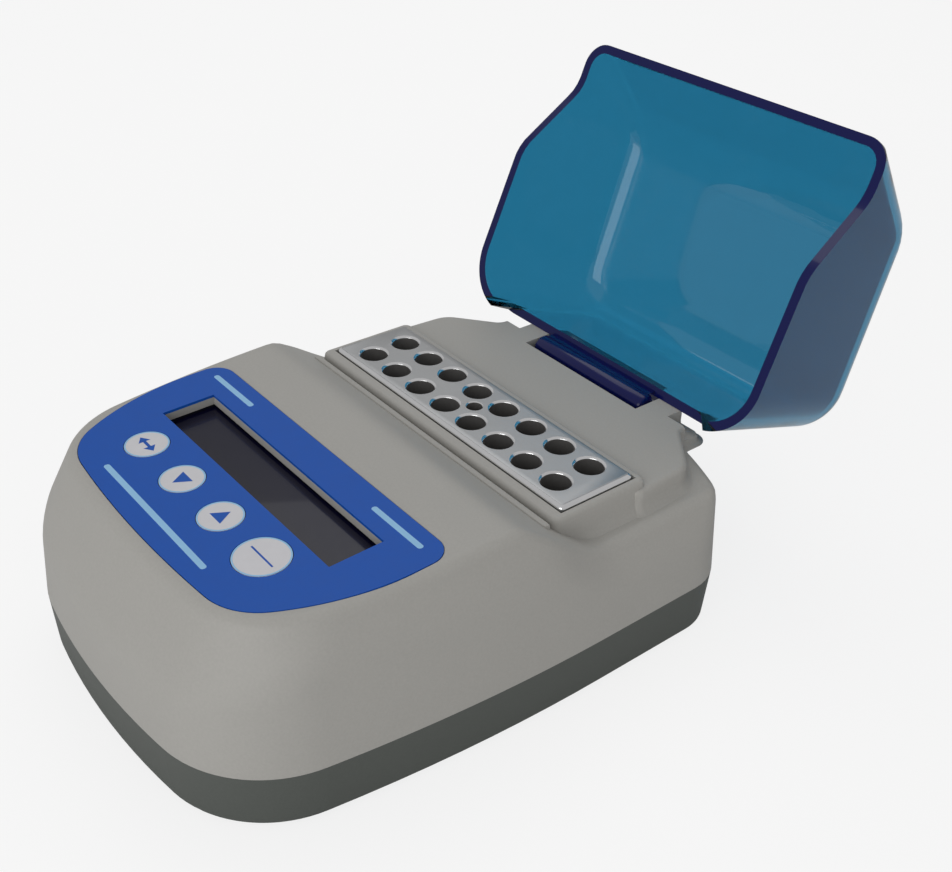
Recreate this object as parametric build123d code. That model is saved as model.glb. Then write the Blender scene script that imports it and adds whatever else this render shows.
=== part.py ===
"""Dry bath incubator: a heated sixteen-well block under a hinged clear lid.

Millimetres, +Z up, standing on its feet at Z = 0. X runs left to right as the user sees it,
and the control panel faces -Y. Sizes in plan are laid out from the middle of the well block,
and the finished pieces are then set over the middle of the footprint.
The lid is drawn closed and turned open about its hinge, which is the rest pose.
"""

import math
import os
from build123d import *

# Where the middle of the well block stands, front to back
BLOCK_Y = 1.8

# Heights above the table
FOOT_HEIGHT = 1.5
SEAM_Z = 14.0
SHOULDER_Z = 33.4
DECK_Z = 38.5
COLLAR_Z = 40.1
BLOCK_TOP_Z = 41.0
PANEL_REAR_Z = 45.15

# Walls and general clearances
WALL = 2.2
FLOOR = 2.2
FIT = 0.3
SNUG = 0.15
RUNNING = 0.05

# Case plan at the seam between the light shell and the dark base
CASE_HALF_WIDTH = 50.5
CASE_SIDE_Y = -5.0
CASE_SIDE_RADIUS = 400.0
CASE_FRONT_Y = -90.7
CASE_FRONT_RADIUS = 170.0
CASE_CORNER_RADIUS = 25.0
CASE_REAR_Y = 41.0
CASE_REAR_RADIUS = 105.0
CASE_REAR_CORNER = 12.5
CASE_DRAFT = 4.5
BASE_DRAFT = 3.2
BASE_EDGE = 1.2

# Plan of the raised front, taken at one height of its leaning wall
HUMP_Z = 44.0
HUMP_HALF_WIDTH = 44.5
HUMP_SIDE_RADIUS = 300.0
HUMP_FRONT_Y = -81.2
HUMP_FRONT_RADIUS = 220.0
HUMP_CORNER_RADIUS = 20.0
HUMP_REAR_Y = 75.0
HUMP_LEAN = 26.565
RIDGE_HALF_WIDTH = 46.0
RIDGE_ROUND = 2.5

# Side profile: level shoulder, slope up, and the panel falling gently to the front
SLOPE_ANGLE = 34.0
SLOPE_REAR_Y = -6.25
SLOPE_REAR_ROUND = 9.0
SLOPE_FRONT_ROUND = 6.0
PANEL_TILT = 1.5

# Well block
WELL_PITCH = 9.0
WELL_COLUMNS = 8
WELL_ROWS = 2
WELL_DIAMETER = 6.13
WELL_CHAMFER = 0.35
WELL_STRAIGHT = 9.0
WELL_CONE = 7.0
WELL_TIP_DIAMETER = 2.6
PROBE_HOLE_DIAMETER = 3.5
PROBE_HOLE_DEPTH = 15.0
BLOCK_LENGTH = 78.0
BLOCK_WIDTH = 19.6
BLOCK_HEIGHT = 22.0
BLOCK_CHAMFER = 0.8
BLOCK_CORNER = 1.2

# Collar and rear deck around the block
COLLAR_HALF_WIDTH = 40.7
COLLAR_FRONT_Y = -12.4
COLLAR_REAR_Y = 11.6
COLLAR_ROUND = 0.8
DECK_FRONT_HALF_WIDTH = 42.0
DECK_REAR_HALF_WIDTH = 40.9
DECK_CORNER_Y = 23.4
DECK_CORNER_ROUND = 5.0
NECK_HALF_WIDTH = 30.4
NECK_START_Y = 32.9
NECK_START_ROUND = 3.0
NECK_REAR_Y = 37.0
DECK_ROUND = 0.7
DECK_CAVITY_REAR_Y = 27.0

# Hinge
HINGE_Y = 35.2
HINGE_Z = 36.65
PIN_DIAMETER = 2.0
PIN_HALF_LENGTH = 24.6
BARREL_RADIUS = 2.9
BARREL_HALF_LENGTH = 17.8
SLOT_HALF_WIDTH = 18.6
SLOT_FRONT_Y = 30.7
POCKET_INNER_X = 25.0
POCKET_FRONT_Y = 34.2
POCKET_FLOOR_Z = 35.0
LID_OPENING = 112.2

# Lid, drawn closed
LID_CLEARANCE = 0.3
LID_REAR_Y = 32.7
LID_FRONT_Y = -35.8
LID_REAR_HALF_WIDTH = 45.1
LID_FRONT_HALF_WIDTH = 44.2
LID_WALL = 2.5
LID_DRAFT = 2.5
LID_TOP_REAR_Z = 75.35
LID_TOP_TILT = 4.5
LID_FRONT_KNEE_Z = 45.6
LID_FRONT_LEAN = 32.3
LID_REAR_CORNER = 13.0
LID_FRONT_CORNER = 6.0
LID_TOP_ROUND = 8.0
LID_NOTCH_HALF_WIDTH = 34.8
LID_WEB_HEIGHT = 4.0

# Control panel overlay
OVERLAY_REAR_Y = -37.8
OVERLAY_HALF_WIDTH = 41.4
OVERLAY_SIDE_Y = -46.0
OVERLAY_SIDE_RADIUS = 52.0
OVERLAY_FRONT_Y = -79.2
OVERLAY_FRONT_RADIUS = 260.0
OVERLAY_CORNER_RADIUS = 13.0
OVERLAY_REAR_CORNER = 4.5
OVERLAY_THICKNESS = 0.6
OVERLAY_PROUD = 0.1
WINDOW_HALF_WIDTH = 31.15
WINDOW_FRONT_Y = -57.4
WINDOW_REAR_Y = -45.7

# Keys, left to right
KEY_Y = -65.1
KEY_XS = (-22.8, -8.0, 6.8, 21.5)
KEY_RADII = (4.45, 4.45, 4.45, 5.43)
KEY_NAMES = ("key_return", "key_down", "key_up", "key_run")
KEY_TRAVEL = 0.4
KEY_FLANGE = 0.6
KEY_FLANGE_THICKNESS = 0.6
KEY_STEM_DIAMETER = 3.4
KEY_STEM_LENGTH = 0.6

# Boards
BOARD_THICKNESS = 1.6
KEY_BOARD_HALF_WIDTH = 33.6
KEY_BOARD_FRONT_Y = -70.5
KEY_BOARD_REAR_Y = -35.8
TACT_SIZE = 6.0
TACT_BODY = 2.2
TACT_PLUNGER_DIAMETER = 3.2
TACT_PLUNGER_HEIGHT = 0.6
DISPLAY_MARGIN = 1.4
DISPLAY_FRAME_WALL = 0.7
DISPLAY_LIP = 0.4
DISPLAY_GLASS = 2.0
MAIN_BOARD_HALF_WIDTH = 33.0
MAIN_BOARD_FRONT_Y = -71.0
MAIN_BOARD_REAR_Y = -21.0
MAIN_BOARD_Z = 7.7
BOARD_BOSS_DIAMETER = 4.8
BOARD_BOSS_INSET = 3.4

# Screws: thread diameter, head diameter and head height
SCREW_DIAMETER = 3.0
SCREW_HEAD_DIAMETER = 5.4
SCREW_HEAD_HEIGHT = 2.2
SMALL_SCREW_DIAMETER = 2.0
SMALL_SCREW_HEAD_DIAMETER = 3.8
SMALL_SCREW_HEAD_HEIGHT = 1.3
SMALL_SCREW_LENGTH = 5.0
CASE_SCREW_LENGTH = 18.0
CASE_SCREW_FRONT = (25.0, -77.5)
CASE_SCREW_REAR = (36.5, 24.5)
CASE_BOSS_DIAMETER = 7.4

# Feet
FOOT_DIAMETER = 9.0
FOOT_RECESS = 0.8
FOOT_FRONT = (38.4, -66.0)
FOOT_REAR = (41.5, 18.0)

# Heater stack under the block
HEATER_THICKNESS = 1.4
CLAMP_PLATE_THICKNESS = 1.6
TRAY_WALL = 3.0
TRAY_TOP_GAP = 0.4
TRAY_EAR_LENGTH = 4.4
TRAY_EAR_WIDTH = 8.0
TRAY_SCREW_LENGTH = 8.0
BLOCK_SCREW_X = 14.0
BLOCK_SCREW_LENGTH = 9.0
SENSOR_DIAMETER = 4.0
SENSOR_LENGTH = 18.0
SENSOR_ABOVE_BASE = 3.0
SENSOR_LEAD_DIAMETER = 1.6
CUTOUT_LENGTH = 14.0
CUTOUT_WIDTH = 8.0
CUTOUT_HEIGHT = 4.2

# Power switch and inlet in the rear wall
REAR_FITTING_Z = 23.6
SWITCH_ANGLE = 8.5
SWITCH_BEZEL = (21.0, 15.0)
SWITCH_BODY = (18.6, 12.6)
SWITCH_BEZEL_THICKNESS = 1.8
SWITCH_BODY_DEPTH = 13.0
SWITCH_WELL_DEPTH = 7.0
FITTING_SEAT = 0.7
TERMINAL = (4.8, 0.8, 6.0)
ROCKER_LENGTH = 14.0
ROCKER_WIDTH = 9.0
ROCKER_TILT = 12.0
ROCKER_CREST = 1.7
ROCKER_VALLEY = 0.5
ROCKER_SKIRT = 2.2
ROCKER_PIVOT_DEPTH = 1.6
ROCKER_PIVOT_DIAMETER = 1.8
ROCKER_PIVOT_REACH = 0.8
INLET_ANGLE = -13.5
INLET_FLANGE_DIAMETER = 11.0
INLET_FLANGE_THICKNESS = 1.6
INLET_BODY_DIAMETER = 8.0
INLET_BODY_DEPTH = 13.0
INLET_BORE_DIAMETER = 5.6
INLET_BORE_DEPTH = 9.5
INLET_PIN_DIAMETER = 2.1
INLET_NUT_DIAMETER = 11.0
INLET_NUT_THICKNESS = 2.0

# Parts on the main board, each at its own place
CHIP_SIZE = (14.0, 10.0, 1.8)
CHIP_SPOT = (-4.0, -52.0)
CAPACITOR_DIAMETER = 8.0
CAPACITOR_HEIGHT = 12.0
CAPACITOR_SPOTS = ((21.0, -54.0), (21.0, -44.0))
BUZZER_DIAMETER = 9.5
BUZZER_HEIGHT = 6.0
BUZZER_SPOT = (-22.0, -56.0)
SINK_SIZE = (22.0, 10.0, 12.0)
SINK_SPOT = (17.0, -31.0)
SINK_FINS = 6
SINK_FIN_THICKNESS = 1.2
SINK_BASE_THICKNESS = 2.4
TRANSISTOR_SIZE = (10.0, 4.4, 9.0)
HEADER_SIZE = (10.0, 5.0, 6.0)
HEADER_SPOTS = ((-18.0, -27.0), (-4.0, -27.0), (-4.0, -66.0))

# Leads and ribbon
LEAD_DIAMETER = 1.2
LEAD_BEND = 3.0
RIBBON_WIDTH = 8.0
RIBBON_THICKNESS = 0.8
RIBBON_BEND = 3.0


def arc(centre, start, end):
    """Arc about a centre, the short way from one point to another."""
    sx, sy = start[0] - centre[0], start[1] - centre[1]
    ex, ey = end[0] - centre[0], end[1] - centre[1]
    scale = math.hypot(sx, sy) / math.hypot(sx + ex, sy + ey)
    middle = (centre[0] + (sx + ex) * scale, centre[1] + (sy + ey) * scale)
    return ThreePointArc(start, middle, end)


def filled(edges):
    """Flat area inside a closed run of edges in the X-Y plane, facing up."""
    face = make_face(edges).face()
    return -face if face.normal_at().Z < 0 else face


def toward(centre, point, distance):
    """Point at a distance from a centre, on the line through another point."""
    dx, dy = point[0] - centre[0], point[1] - centre[1]
    length = math.hypot(dx, dy)
    return centre[0] + dx * distance / length, centre[1] + dy * distance / length


def front_crossing(first, first_radius, second, second_radius):
    """Front crossing of two circles, the first one centred further left."""
    dx, dy = second[0] - first[0], second[1] - first[1]
    gap = math.hypot(dx, dy)
    along = (first_radius**2 - second_radius**2 + gap**2) / (2 * gap)
    across = math.sqrt(first_radius**2 - along**2)
    ux, uy = dx / gap, dy / gap
    return first[0] + along * ux + across * uy, first[1] + along * uy - across * ux


def mirrored(point):
    """The same point on the left-hand side."""
    return -point[0], point[1]


def plan_outline(half_width, side_y, side_radius, front_y, front_radius, corner_radius,
                 rear_y, rear_radius, rear_corner, inset=0.0):
    """Plan with bowed front, long side arcs and rounded corners, set in by an even amount.

    Straight sides run back from side_y. A rear_radius of None gives a straight rear edge.
    """
    side = (half_width - side_radius, side_y)
    bow = (0.0, front_y + front_radius)
    corner = front_crossing(side, side_radius - corner_radius, bow, front_radius - corner_radius)
    side_end = toward(side, corner, side_radius - inset)
    front_end = toward(bow, corner, front_radius - inset)
    side_start = (half_width - inset, side_y)
    if rear_radius is None:
        rear = (half_width - rear_corner, rear_y - rear_corner)
        rear_start = (rear[0], rear_y - inset)
        rear_edge = Line(rear_start, mirrored(rear_start))
    else:
        reach = rear_radius - rear_corner
        back = (0.0, rear_y - rear_radius)
        rear = (half_width - rear_corner, back[1] + math.sqrt(reach**2 - (half_width - rear_corner)**2))
        rear_start = toward(back, rear, rear_radius - inset)
        rear_edge = arc(back, rear_start, mirrored(rear_start))
    rear_end = (half_width - inset, rear[1])
    left = [arc(mirrored(rear), mirrored(rear_start), mirrored(rear_end)),
            Line(mirrored(rear_end), mirrored(side_start)),
            arc(mirrored(side), mirrored(side_start), mirrored(side_end)),
            arc(mirrored(corner), mirrored(side_end), mirrored(front_end))]
    right = [arc(corner, front_end, side_end), arc(side, side_end, side_start),
             Line(side_start, rear_end), arc(rear, rear_end, rear_start)]
    return Face(Wire([rear_edge, *left, arc(bow, mirrored(front_end), front_end), *right]))


def hump_side_y():
    """Where the leaning wall takes over from the shoulder's ridge, on the slope."""
    meeting_z = HUMP_Z - (RIDGE_HALF_WIDTH - HUMP_HALF_WIDTH) / math.tan(math.radians(HUMP_LEAN))
    return SLOPE_REAR_Y - (meeting_z - SHOULDER_Z) / math.tan(math.radians(SLOPE_ANGLE))


def seam_outline(inset=0.0):
    """Plan of the case where the light shell meets the dark base."""
    return plan_outline(CASE_HALF_WIDTH, CASE_SIDE_Y, CASE_SIDE_RADIUS, CASE_FRONT_Y,
                        CASE_FRONT_RADIUS, CASE_CORNER_RADIUS, CASE_REAR_Y, CASE_REAR_RADIUS,
                        CASE_REAR_CORNER, inset)


def hump_outline(inset=0.0):
    """Plan of the raised front's leaning wall at its reference height."""
    return plan_outline(HUMP_HALF_WIDTH, hump_side_y(), HUMP_SIDE_RADIUS, HUMP_FRONT_Y,
                        HUMP_FRONT_RADIUS, HUMP_CORNER_RADIUS, HUMP_REAR_Y, None,
                        CASE_REAR_CORNER, inset)


def overlay_outline(inset=0.0):
    """Plan of the control panel overlay."""
    return plan_outline(OVERLAY_HALF_WIDTH, OVERLAY_SIDE_Y, OVERLAY_SIDE_RADIUS, OVERLAY_FRONT_Y,
                        OVERLAY_FRONT_RADIUS, OVERLAY_CORNER_RADIUS, OVERLAY_REAR_Y, None,
                        OVERLAY_REAR_CORNER, inset)


def profile_points(offset):
    """Side profile of shoulder, slope and panel, moved out (up) or in (down) by an offset."""
    shift = offset * math.tan(math.radians(SLOPE_ANGLE / 2))
    rise = PANEL_REAR_Z - SHOULDER_Z
    front_vertex_y = SLOPE_REAR_Y - rise / math.tan(math.radians(SLOPE_ANGLE))
    rear = (SLOPE_REAR_Y + shift, SHOULDER_Z + offset)
    front = (front_vertex_y + shift, PANEL_REAR_Z + offset)
    return rear, front


def panel_z(y):
    """Height of the panel's surface at a distance from the block."""
    front_vertex_y = profile_points(0.0)[1][0]
    return PANEL_REAR_Z - (front_vertex_y - y) * math.tan(math.radians(PANEL_TILT))


def profile_face(offset, floor_z):
    """Area under the side profile, in the Y-Z plane."""
    rear, front = profile_points(offset)
    rear_reach = CASE_REAR_Y + CASE_REAR_CORNER
    front_reach = CASE_FRONT_Y - CASE_CORNER_RADIUS
    face = filled(Polyline(
        (rear_reach, floor_z), (rear_reach, rear[1]), rear, front,
        (front_reach, panel_z(front_reach) + offset), (front_reach, floor_z), close=True))
    for point, radius in ((rear, SLOPE_REAR_ROUND - offset), (front, SLOPE_FRONT_ROUND + offset)):
        corner = face.vertices().sort_by(lambda v: math.hypot(v.X - point[0], v.Y - point[1]))[0]
        face = fillet(corner, radius)
    return Plane.YZ * face


def on_panel(x, y, depth=0.0):
    """Place on the panel's surface, its Z axis square to the surface and pointing out."""
    return Pos(x, y, panel_z(y)) * Rot(PANEL_TILT, 0, 0) * Pos(0, 0, -depth)


def case_form(inset=0.0):
    """Case above the seam, without its deck, or the same form set in by a wall."""
    lean = math.tan(math.radians(HUMP_LEAN))
    lean_inset = inset / math.cos(math.radians(HUMP_LEAN))
    top_z = PANEL_REAR_Z + WALL
    drop = HUMP_Z - SEAM_Z
    lower = Pos(0, 0, SEAM_Z) * extrude(seam_outline(inset), top_z - SEAM_Z, taper=CASE_DRAFT)
    upper = Pos(0, 0, SEAM_Z) * extrude(
        hump_outline(lean_inset - drop * lean), top_z - SEAM_Z, taper=HUMP_LEAN)
    edge_x = RIDGE_HALF_WIDTH - lean_inset + inset * lean
    side = profile_face(-inset, -SEAM_Z)
    middle = extrude(side, edge_x, both=True)
    wing_length = (CASE_HALF_WIDTH - edge_x + WALL) * math.hypot(1, 1 / lean)
    wings = [extrude(Pos(sign * edge_x, 0, 0) * side, wing_length, dir=(sign, 0, -1 / lean))
             for sign in (1, -1)]
    return lower & upper & (middle + wings)


def deck_face(inset=0.0, rear_y=NECK_REAR_Y):
    """Plan of the rear deck, which narrows to the hinge neck."""
    corner = (DECK_REAR_HALF_WIDTH - inset, DECK_CORNER_Y - inset / 2)
    neck = (NECK_HALF_WIDTH - inset, NECK_START_Y - inset / 2)
    front = (DECK_FRONT_HALF_WIDTH - inset, COLLAR_REAR_Y)
    right = [front, corner, neck, (neck[0], rear_y)]
    left = [mirrored(point) for point in reversed(right)]
    face = filled(Polyline(*right, *left, close=True))
    for point, radius in ((corner, DECK_CORNER_ROUND), (neck, NECK_START_ROUND)):
        for flip in (tuple, mirrored):
            x, y = flip(point)
            vertex = face.vertices().sort_by(lambda v: math.hypot(v.X - x, v.Y - y))[0]
            face = fillet(vertex, radius)
    return face


def collar_box(inset, top_z, rear_y):
    """Raised strip around the block, with its front behind the slope."""
    front_y = COLLAR_FRONT_Y + inset
    width = 2 * (COLLAR_HALF_WIDTH - inset)
    height = top_z - SHOULDER_Z + WALL
    box = Box(width, rear_y - front_y, height, align=(Align.CENTER, Align.MIN, Align.MAX))
    return Pos(0, front_y, top_z) * box


def deck_form():
    """Deck and collar as one solid, with softened top edges."""
    deck = Pos(0, 0, SHOULDER_Z - WALL / 2) * extrude(deck_face(), DECK_Z - SHOULDER_Z + WALL / 2)
    deck = fillet(deck.faces().sort_by(Axis.Z)[-1].edges().filter_by(
        lambda e: e.center().Y > COLLAR_REAR_Y + 1), DECK_ROUND)
    collar = collar_box(0.0, COLLAR_Z, COLLAR_REAR_Y)
    collar = fillet(collar.edges().filter_by(Axis.Z), COLLAR_ROUND * 2)
    collar = fillet(collar.faces().sort_by(Axis.Z)[-1].edges(), COLLAR_ROUND)
    return deck + collar


def top_z(y):
    """Height of the case's top line at a distance from the block, corners left sharp."""
    slope = SHOULDER_Z + (SLOPE_REAR_Y - y) * math.tan(math.radians(SLOPE_ANGLE))
    return max(SHOULDER_Z, min(slope, panel_z(y)))


def ridge_edges(form):
    """Edges where the case's top meets its walls."""
    near = SLOPE_REAR_ROUND * (1 / math.cos(math.radians(SLOPE_ANGLE / 2)) - 1) + RUNNING

    def on_top(edge):
        points = [edge @ share for share in (0.1, 0.5, 0.9)]
        return all(abs(point.Z - top_z(point.Y)) < near for point in points)

    return form.edges().filter_by(on_top).filter_by(Axis.X, reverse=True)


def disc(diameter, height):
    """Upright cylinder standing on its own origin."""
    return Cylinder(diameter / 2, height, align=(Align.CENTER, Align.CENTER, Align.MIN))


def slab(length, width, height):
    """Box standing on its own origin."""
    return Box(length, width, height, align=(Align.CENTER, Align.CENTER, Align.MIN))


def span_box(x_range, y_range, z_range):
    """Box between two limits on each axis."""
    size = [high - low for low, high in (x_range, y_range, z_range)]
    corner = Pos(x_range[0], y_range[0], z_range[0])
    return corner * Box(*size, align=(Align.MIN, Align.MIN, Align.MIN))


def corner_spots(front, rear):
    """Left and right places of a front and a rear pair."""
    return [(sign * x, y) for x, y in (front, rear) for sign in (-1, 1)]


def screw(diameter, head_diameter, head_height, length):
    """Round-headed screw: head above its seat at Z = 0, shank below."""
    head = disc(head_diameter, head_height)
    head = fillet(head.faces().sort_by(Axis.Z)[-1].edges(), head_height / 3)
    recess = Pos(0, 0, head_height / 2) * extrude(RegularPolygon(diameter / 3, 6), head_height)
    return head + Pos(0, 0, -length) * disc(diameter, length) - recess


def rear_wall(angle, depth=0.0):
    """Place on the bowed rear wall, Z out of the wall, X along it."""
    radius = CASE_REAR_RADIUS - (REAR_FITTING_Z - SEAM_Z) * math.tan(math.radians(CASE_DRAFT))
    bow = Pos(0, CASE_REAR_Y - CASE_REAR_RADIUS, REAR_FITTING_Z) * Rot(0, 0, -angle)
    return bow * Pos(0, radius, 0) * Rot(CASE_DRAFT - 90, 0, 0) * Pos(0, 0, -depth)


def wall_pads():
    """Flat seats and holes for the switch and the inlet, as one cutter."""
    reach = WALL * 4
    switch = Pos(0, 0, 0) * slab(SWITCH_BEZEL[0] + 2 * SNUG, SWITCH_BEZEL[1] + 2 * SNUG, reach)
    switch += Pos(0, 0, -reach) * slab(SWITCH_BODY[0] + 2 * SNUG, SWITCH_BODY[1] + 2 * SNUG, reach)
    inlet = disc(INLET_FLANGE_DIAMETER + 2 * SNUG, reach)
    inlet += Pos(0, 0, -reach) * disc(INLET_BODY_DIAMETER + 2 * SNUG, reach)
    return (rear_wall(SWITCH_ANGLE, FITTING_SEAT) * switch,
            rear_wall(INLET_ANGLE, FITTING_SEAT) * inlet)


def key_board_depth():
    """Depth of the key board's face below the panel, from the key's own stack."""
    key = WALL + RUNNING + KEY_FLANGE_THICKNESS + KEY_STEM_LENGTH + KEY_TRAVEL + SNUG
    return key + TACT_PLUNGER_HEIGHT + TACT_BODY


def board_spots(half_width, front_y, rear_y):
    """Screw places near a board's corners."""
    x = half_width - BOARD_BOSS_INSET
    return corner_spots((x, front_y + BOARD_BOSS_INSET), (x, rear_y - BOARD_BOSS_INSET))


def key_board_spots():
    """Screw places of the key board."""
    return board_spots(KEY_BOARD_HALF_WIDTH, KEY_BOARD_FRONT_Y, KEY_BOARD_REAR_Y)


def main_board_spots():
    """Screw places of the main board."""
    return board_spots(MAIN_BOARD_HALF_WIDTH, MAIN_BOARD_FRONT_Y, MAIN_BOARD_REAR_Y)


def block_length_with_gap():
    """Length and width of the hole that the well block stands in."""
    return BLOCK_LENGTH + 2 * FIT, BLOCK_WIDTH + 2 * FIT


def window_box(margin, top_depth, bottom_depth):
    """Box on the panel around the display window, between two depths."""
    middle_y = (WINDOW_FRONT_Y + WINDOW_REAR_Y) / 2
    length = 2 * (WINDOW_HALF_WIDTH + margin)
    width = WINDOW_REAR_Y - WINDOW_FRONT_Y + 2 * margin
    return on_panel(0, middle_y, bottom_depth) * slab(length, width, bottom_depth - top_depth)


def panel_plate(outline, top_depth, bottom_depth):
    """Plate with the panel's tilt, between two depths below its surface."""
    column = extrude(Pos(0, 0, SEAM_Z) * outline, PANEL_REAR_Z)
    middle_y = (WINDOW_FRONT_Y + WINDOW_REAR_Y) / 2
    reach = CASE_HALF_WIDTH * 3
    return column & (on_panel(0, middle_y, bottom_depth) * slab(reach, reach, bottom_depth - top_depth))


def upper_shell():
    """Light upper case with its deck, hinge neck, openings and bosses."""
    form = case_form()
    form = fillet(ridge_edges(form), RIDGE_ROUND)
    shell = form + deck_form() - case_form(WALL)
    cavity = Pos(0, 0, SHOULDER_Z - WALL) * extrude(deck_face(WALL), DECK_Z - SHOULDER_Z)
    keep = CASE_HALF_WIDTH
    shell -= cavity & span_box((-keep, keep), (0, DECK_CAVITY_REAR_Y), (0, DECK_Z))
    shell -= collar_box(WALL, COLLAR_Z - WALL, COLLAR_REAR_Y + WALL)
    for x, y in corner_spots(CASE_SCREW_FRONT, CASE_SCREW_REAR):
        boss = Pos(x, y, SEAM_Z) * disc(CASE_BOSS_DIAMETER, PANEL_REAR_Z - SEAM_Z)
        shell += boss & case_form(WALL / 2)
    for x, y in key_board_spots():
        depth = key_board_depth()
        shell += on_panel(x, y, depth) * disc(BOARD_BOSS_DIAMETER, depth - WALL / 2)
        thread = SMALL_SCREW_DIAMETER + 2 * RUNNING
        shell -= on_panel(x, y, depth) * disc(thread, SMALL_SCREW_LENGTH - BOARD_THICKNESS + FIT)
    for x, y in corner_spots(CASE_SCREW_FRONT, CASE_SCREW_REAR):
        shell -= Pos(x, y, SEAM_Z) * disc(SCREW_DIAMETER + 2 * RUNNING, CASE_SCREW_LENGTH)
    length, width = block_length_with_gap()
    shell -= Pos(0, 0, SEAM_Z) * slab(length, width, BLOCK_TOP_Z)
    recess = OVERLAY_THICKNESS - OVERLAY_PROUD
    shell -= panel_plate(overlay_outline(-SNUG), -WALL, recess)
    shell -= window_box(0.0, -WALL, 2 * WALL)
    for x, radius in zip(KEY_XS, KEY_RADII):
        shell -= on_panel(x, KEY_Y, 2 * WALL) * disc(2 * (radius + SNUG), 3 * WALL)
    slot_rear = CASE_REAR_Y
    shell -= span_box((-SLOT_HALF_WIDTH, SLOT_HALF_WIDTH), (SLOT_FRONT_Y, slot_rear),
                      (SHOULDER_Z, BLOCK_TOP_Z))
    for sign in (-1, 1):
        inner, outer = sorted((sign * POCKET_INNER_X, sign * CASE_HALF_WIDTH))
        shell -= span_box((inner, outer), (POCKET_FRONT_Y, slot_rear), (POCKET_FLOOR_Z, BLOCK_TOP_Z))
    shell -= hinge_rod(PIN_DIAMETER + 2 * RUNNING, POCKET_INNER_X + FIT)
    for cutter in wall_pads():
        shell -= cutter
    return shell


def hinge_rod(diameter, half_length):
    """Cylinder along the hinge axis."""
    return Pos(0, HINGE_Y, HINGE_Z) * Rot(0, 90, 0) * Cylinder(diameter / 2, 2 * half_length)


def base_shell():
    """Dark base tray with tongue, bosses and foot recesses."""
    height = SEAM_Z - FOOT_HEIGHT
    outer = Pos(0, 0, SEAM_Z) * Rot(0, 180, 0) * extrude(seam_outline(), height, taper=BASE_DRAFT)
    outer = fillet(outer.faces().sort_by(Axis.Z)[0].edges(), BASE_EDGE)
    hollow = Pos(0, 0, FOOT_HEIGHT + FLOOR) * extrude(seam_outline(WALL + FIT), height)
    base = outer - hollow
    tongue = extrude(seam_outline(WALL), height - FLOOR) + extrude(seam_outline(WALL + FIT), height)
    tongue -= extrude(seam_outline(WALL + FIT + WALL / 2), height)
    base += Pos(0, 0, FOOT_HEIGHT + FLOOR) * tongue
    floor_z = FOOT_HEIGHT + FLOOR
    for x, y in corner_spots(CASE_SCREW_FRONT, CASE_SCREW_REAR):
        base += Pos(x, y, floor_z - FLOOR / 2) * disc(CASE_BOSS_DIAMETER, SEAM_Z - floor_z + FLOOR / 2)
        seat = screw_seat_z() - FOOT_HEIGHT
        base -= Pos(x, y, FOOT_HEIGHT) * disc(SCREW_HEAD_DIAMETER + 2 * SNUG, seat)
        base -= Pos(x, y, FOOT_HEIGHT) * disc(SCREW_DIAMETER + 2 * SNUG, SEAM_Z)
    for x, y in main_board_spots():
        base += Pos(x, y, floor_z - FLOOR / 2) * disc(BOARD_BOSS_DIAMETER,
                                                     MAIN_BOARD_Z - floor_z + FLOOR / 2)
        base -= Pos(x, y, floor_z) * disc(SMALL_SCREW_DIAMETER + 2 * RUNNING, MAIN_BOARD_Z)
    for sign in (-1, 1):
        post = Pos(sign * tray_ear_x(), 0, floor_z - FLOOR / 2)
        base += post * disc(BOARD_BOSS_DIAMETER, tray_bottom_z() - floor_z + FLOOR / 2)
        base -= post * Pos(0, 0, FLOOR) * disc(SMALL_SCREW_DIAMETER + 2 * RUNNING, SEAM_Z)
    for x, y in corner_spots(FOOT_FRONT, FOOT_REAR):
        base -= Pos(x, y, 0) * disc(FOOT_DIAMETER + 2 * SNUG, FOOT_HEIGHT + FOOT_RECESS)
    return base


def screw_seat_z():
    """Height of the case screws' heads inside the base."""
    return FOOT_HEIGHT + FLOOR + SCREW_HEAD_HEIGHT


def rubber_feet():
    """Four round feet with softened lower edges."""
    foot = disc(FOOT_DIAMETER, FOOT_HEIGHT + FOOT_RECESS)
    foot = chamfer(foot.faces().sort_by(Axis.Z)[0].edges(), FOOT_RECESS / 2)
    return [Pos(x, y, 0) * foot for x, y in corner_spots(FOOT_FRONT, FOOT_REAR)]


def case_screws():
    """Four screws up through the base into the upper shell."""
    one = Rot(180, 0, 0) * screw(SCREW_DIAMETER, SCREW_HEAD_DIAMETER, SCREW_HEAD_HEIGHT,
                                 CASE_SCREW_LENGTH)
    spots = corner_spots(CASE_SCREW_FRONT, CASE_SCREW_REAR)
    return [Pos(x, y, screw_seat_z()) * one for x, y in spots]


def well_spots():
    """Places of the wells' centres."""
    xs = [(i - (WELL_COLUMNS - 1) / 2) * WELL_PITCH for i in range(WELL_COLUMNS)]
    ys = [(j - (WELL_ROWS - 1) / 2) * WELL_PITCH for j in range(WELL_ROWS)]
    return [(x, y) for y in ys for x in xs]


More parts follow.
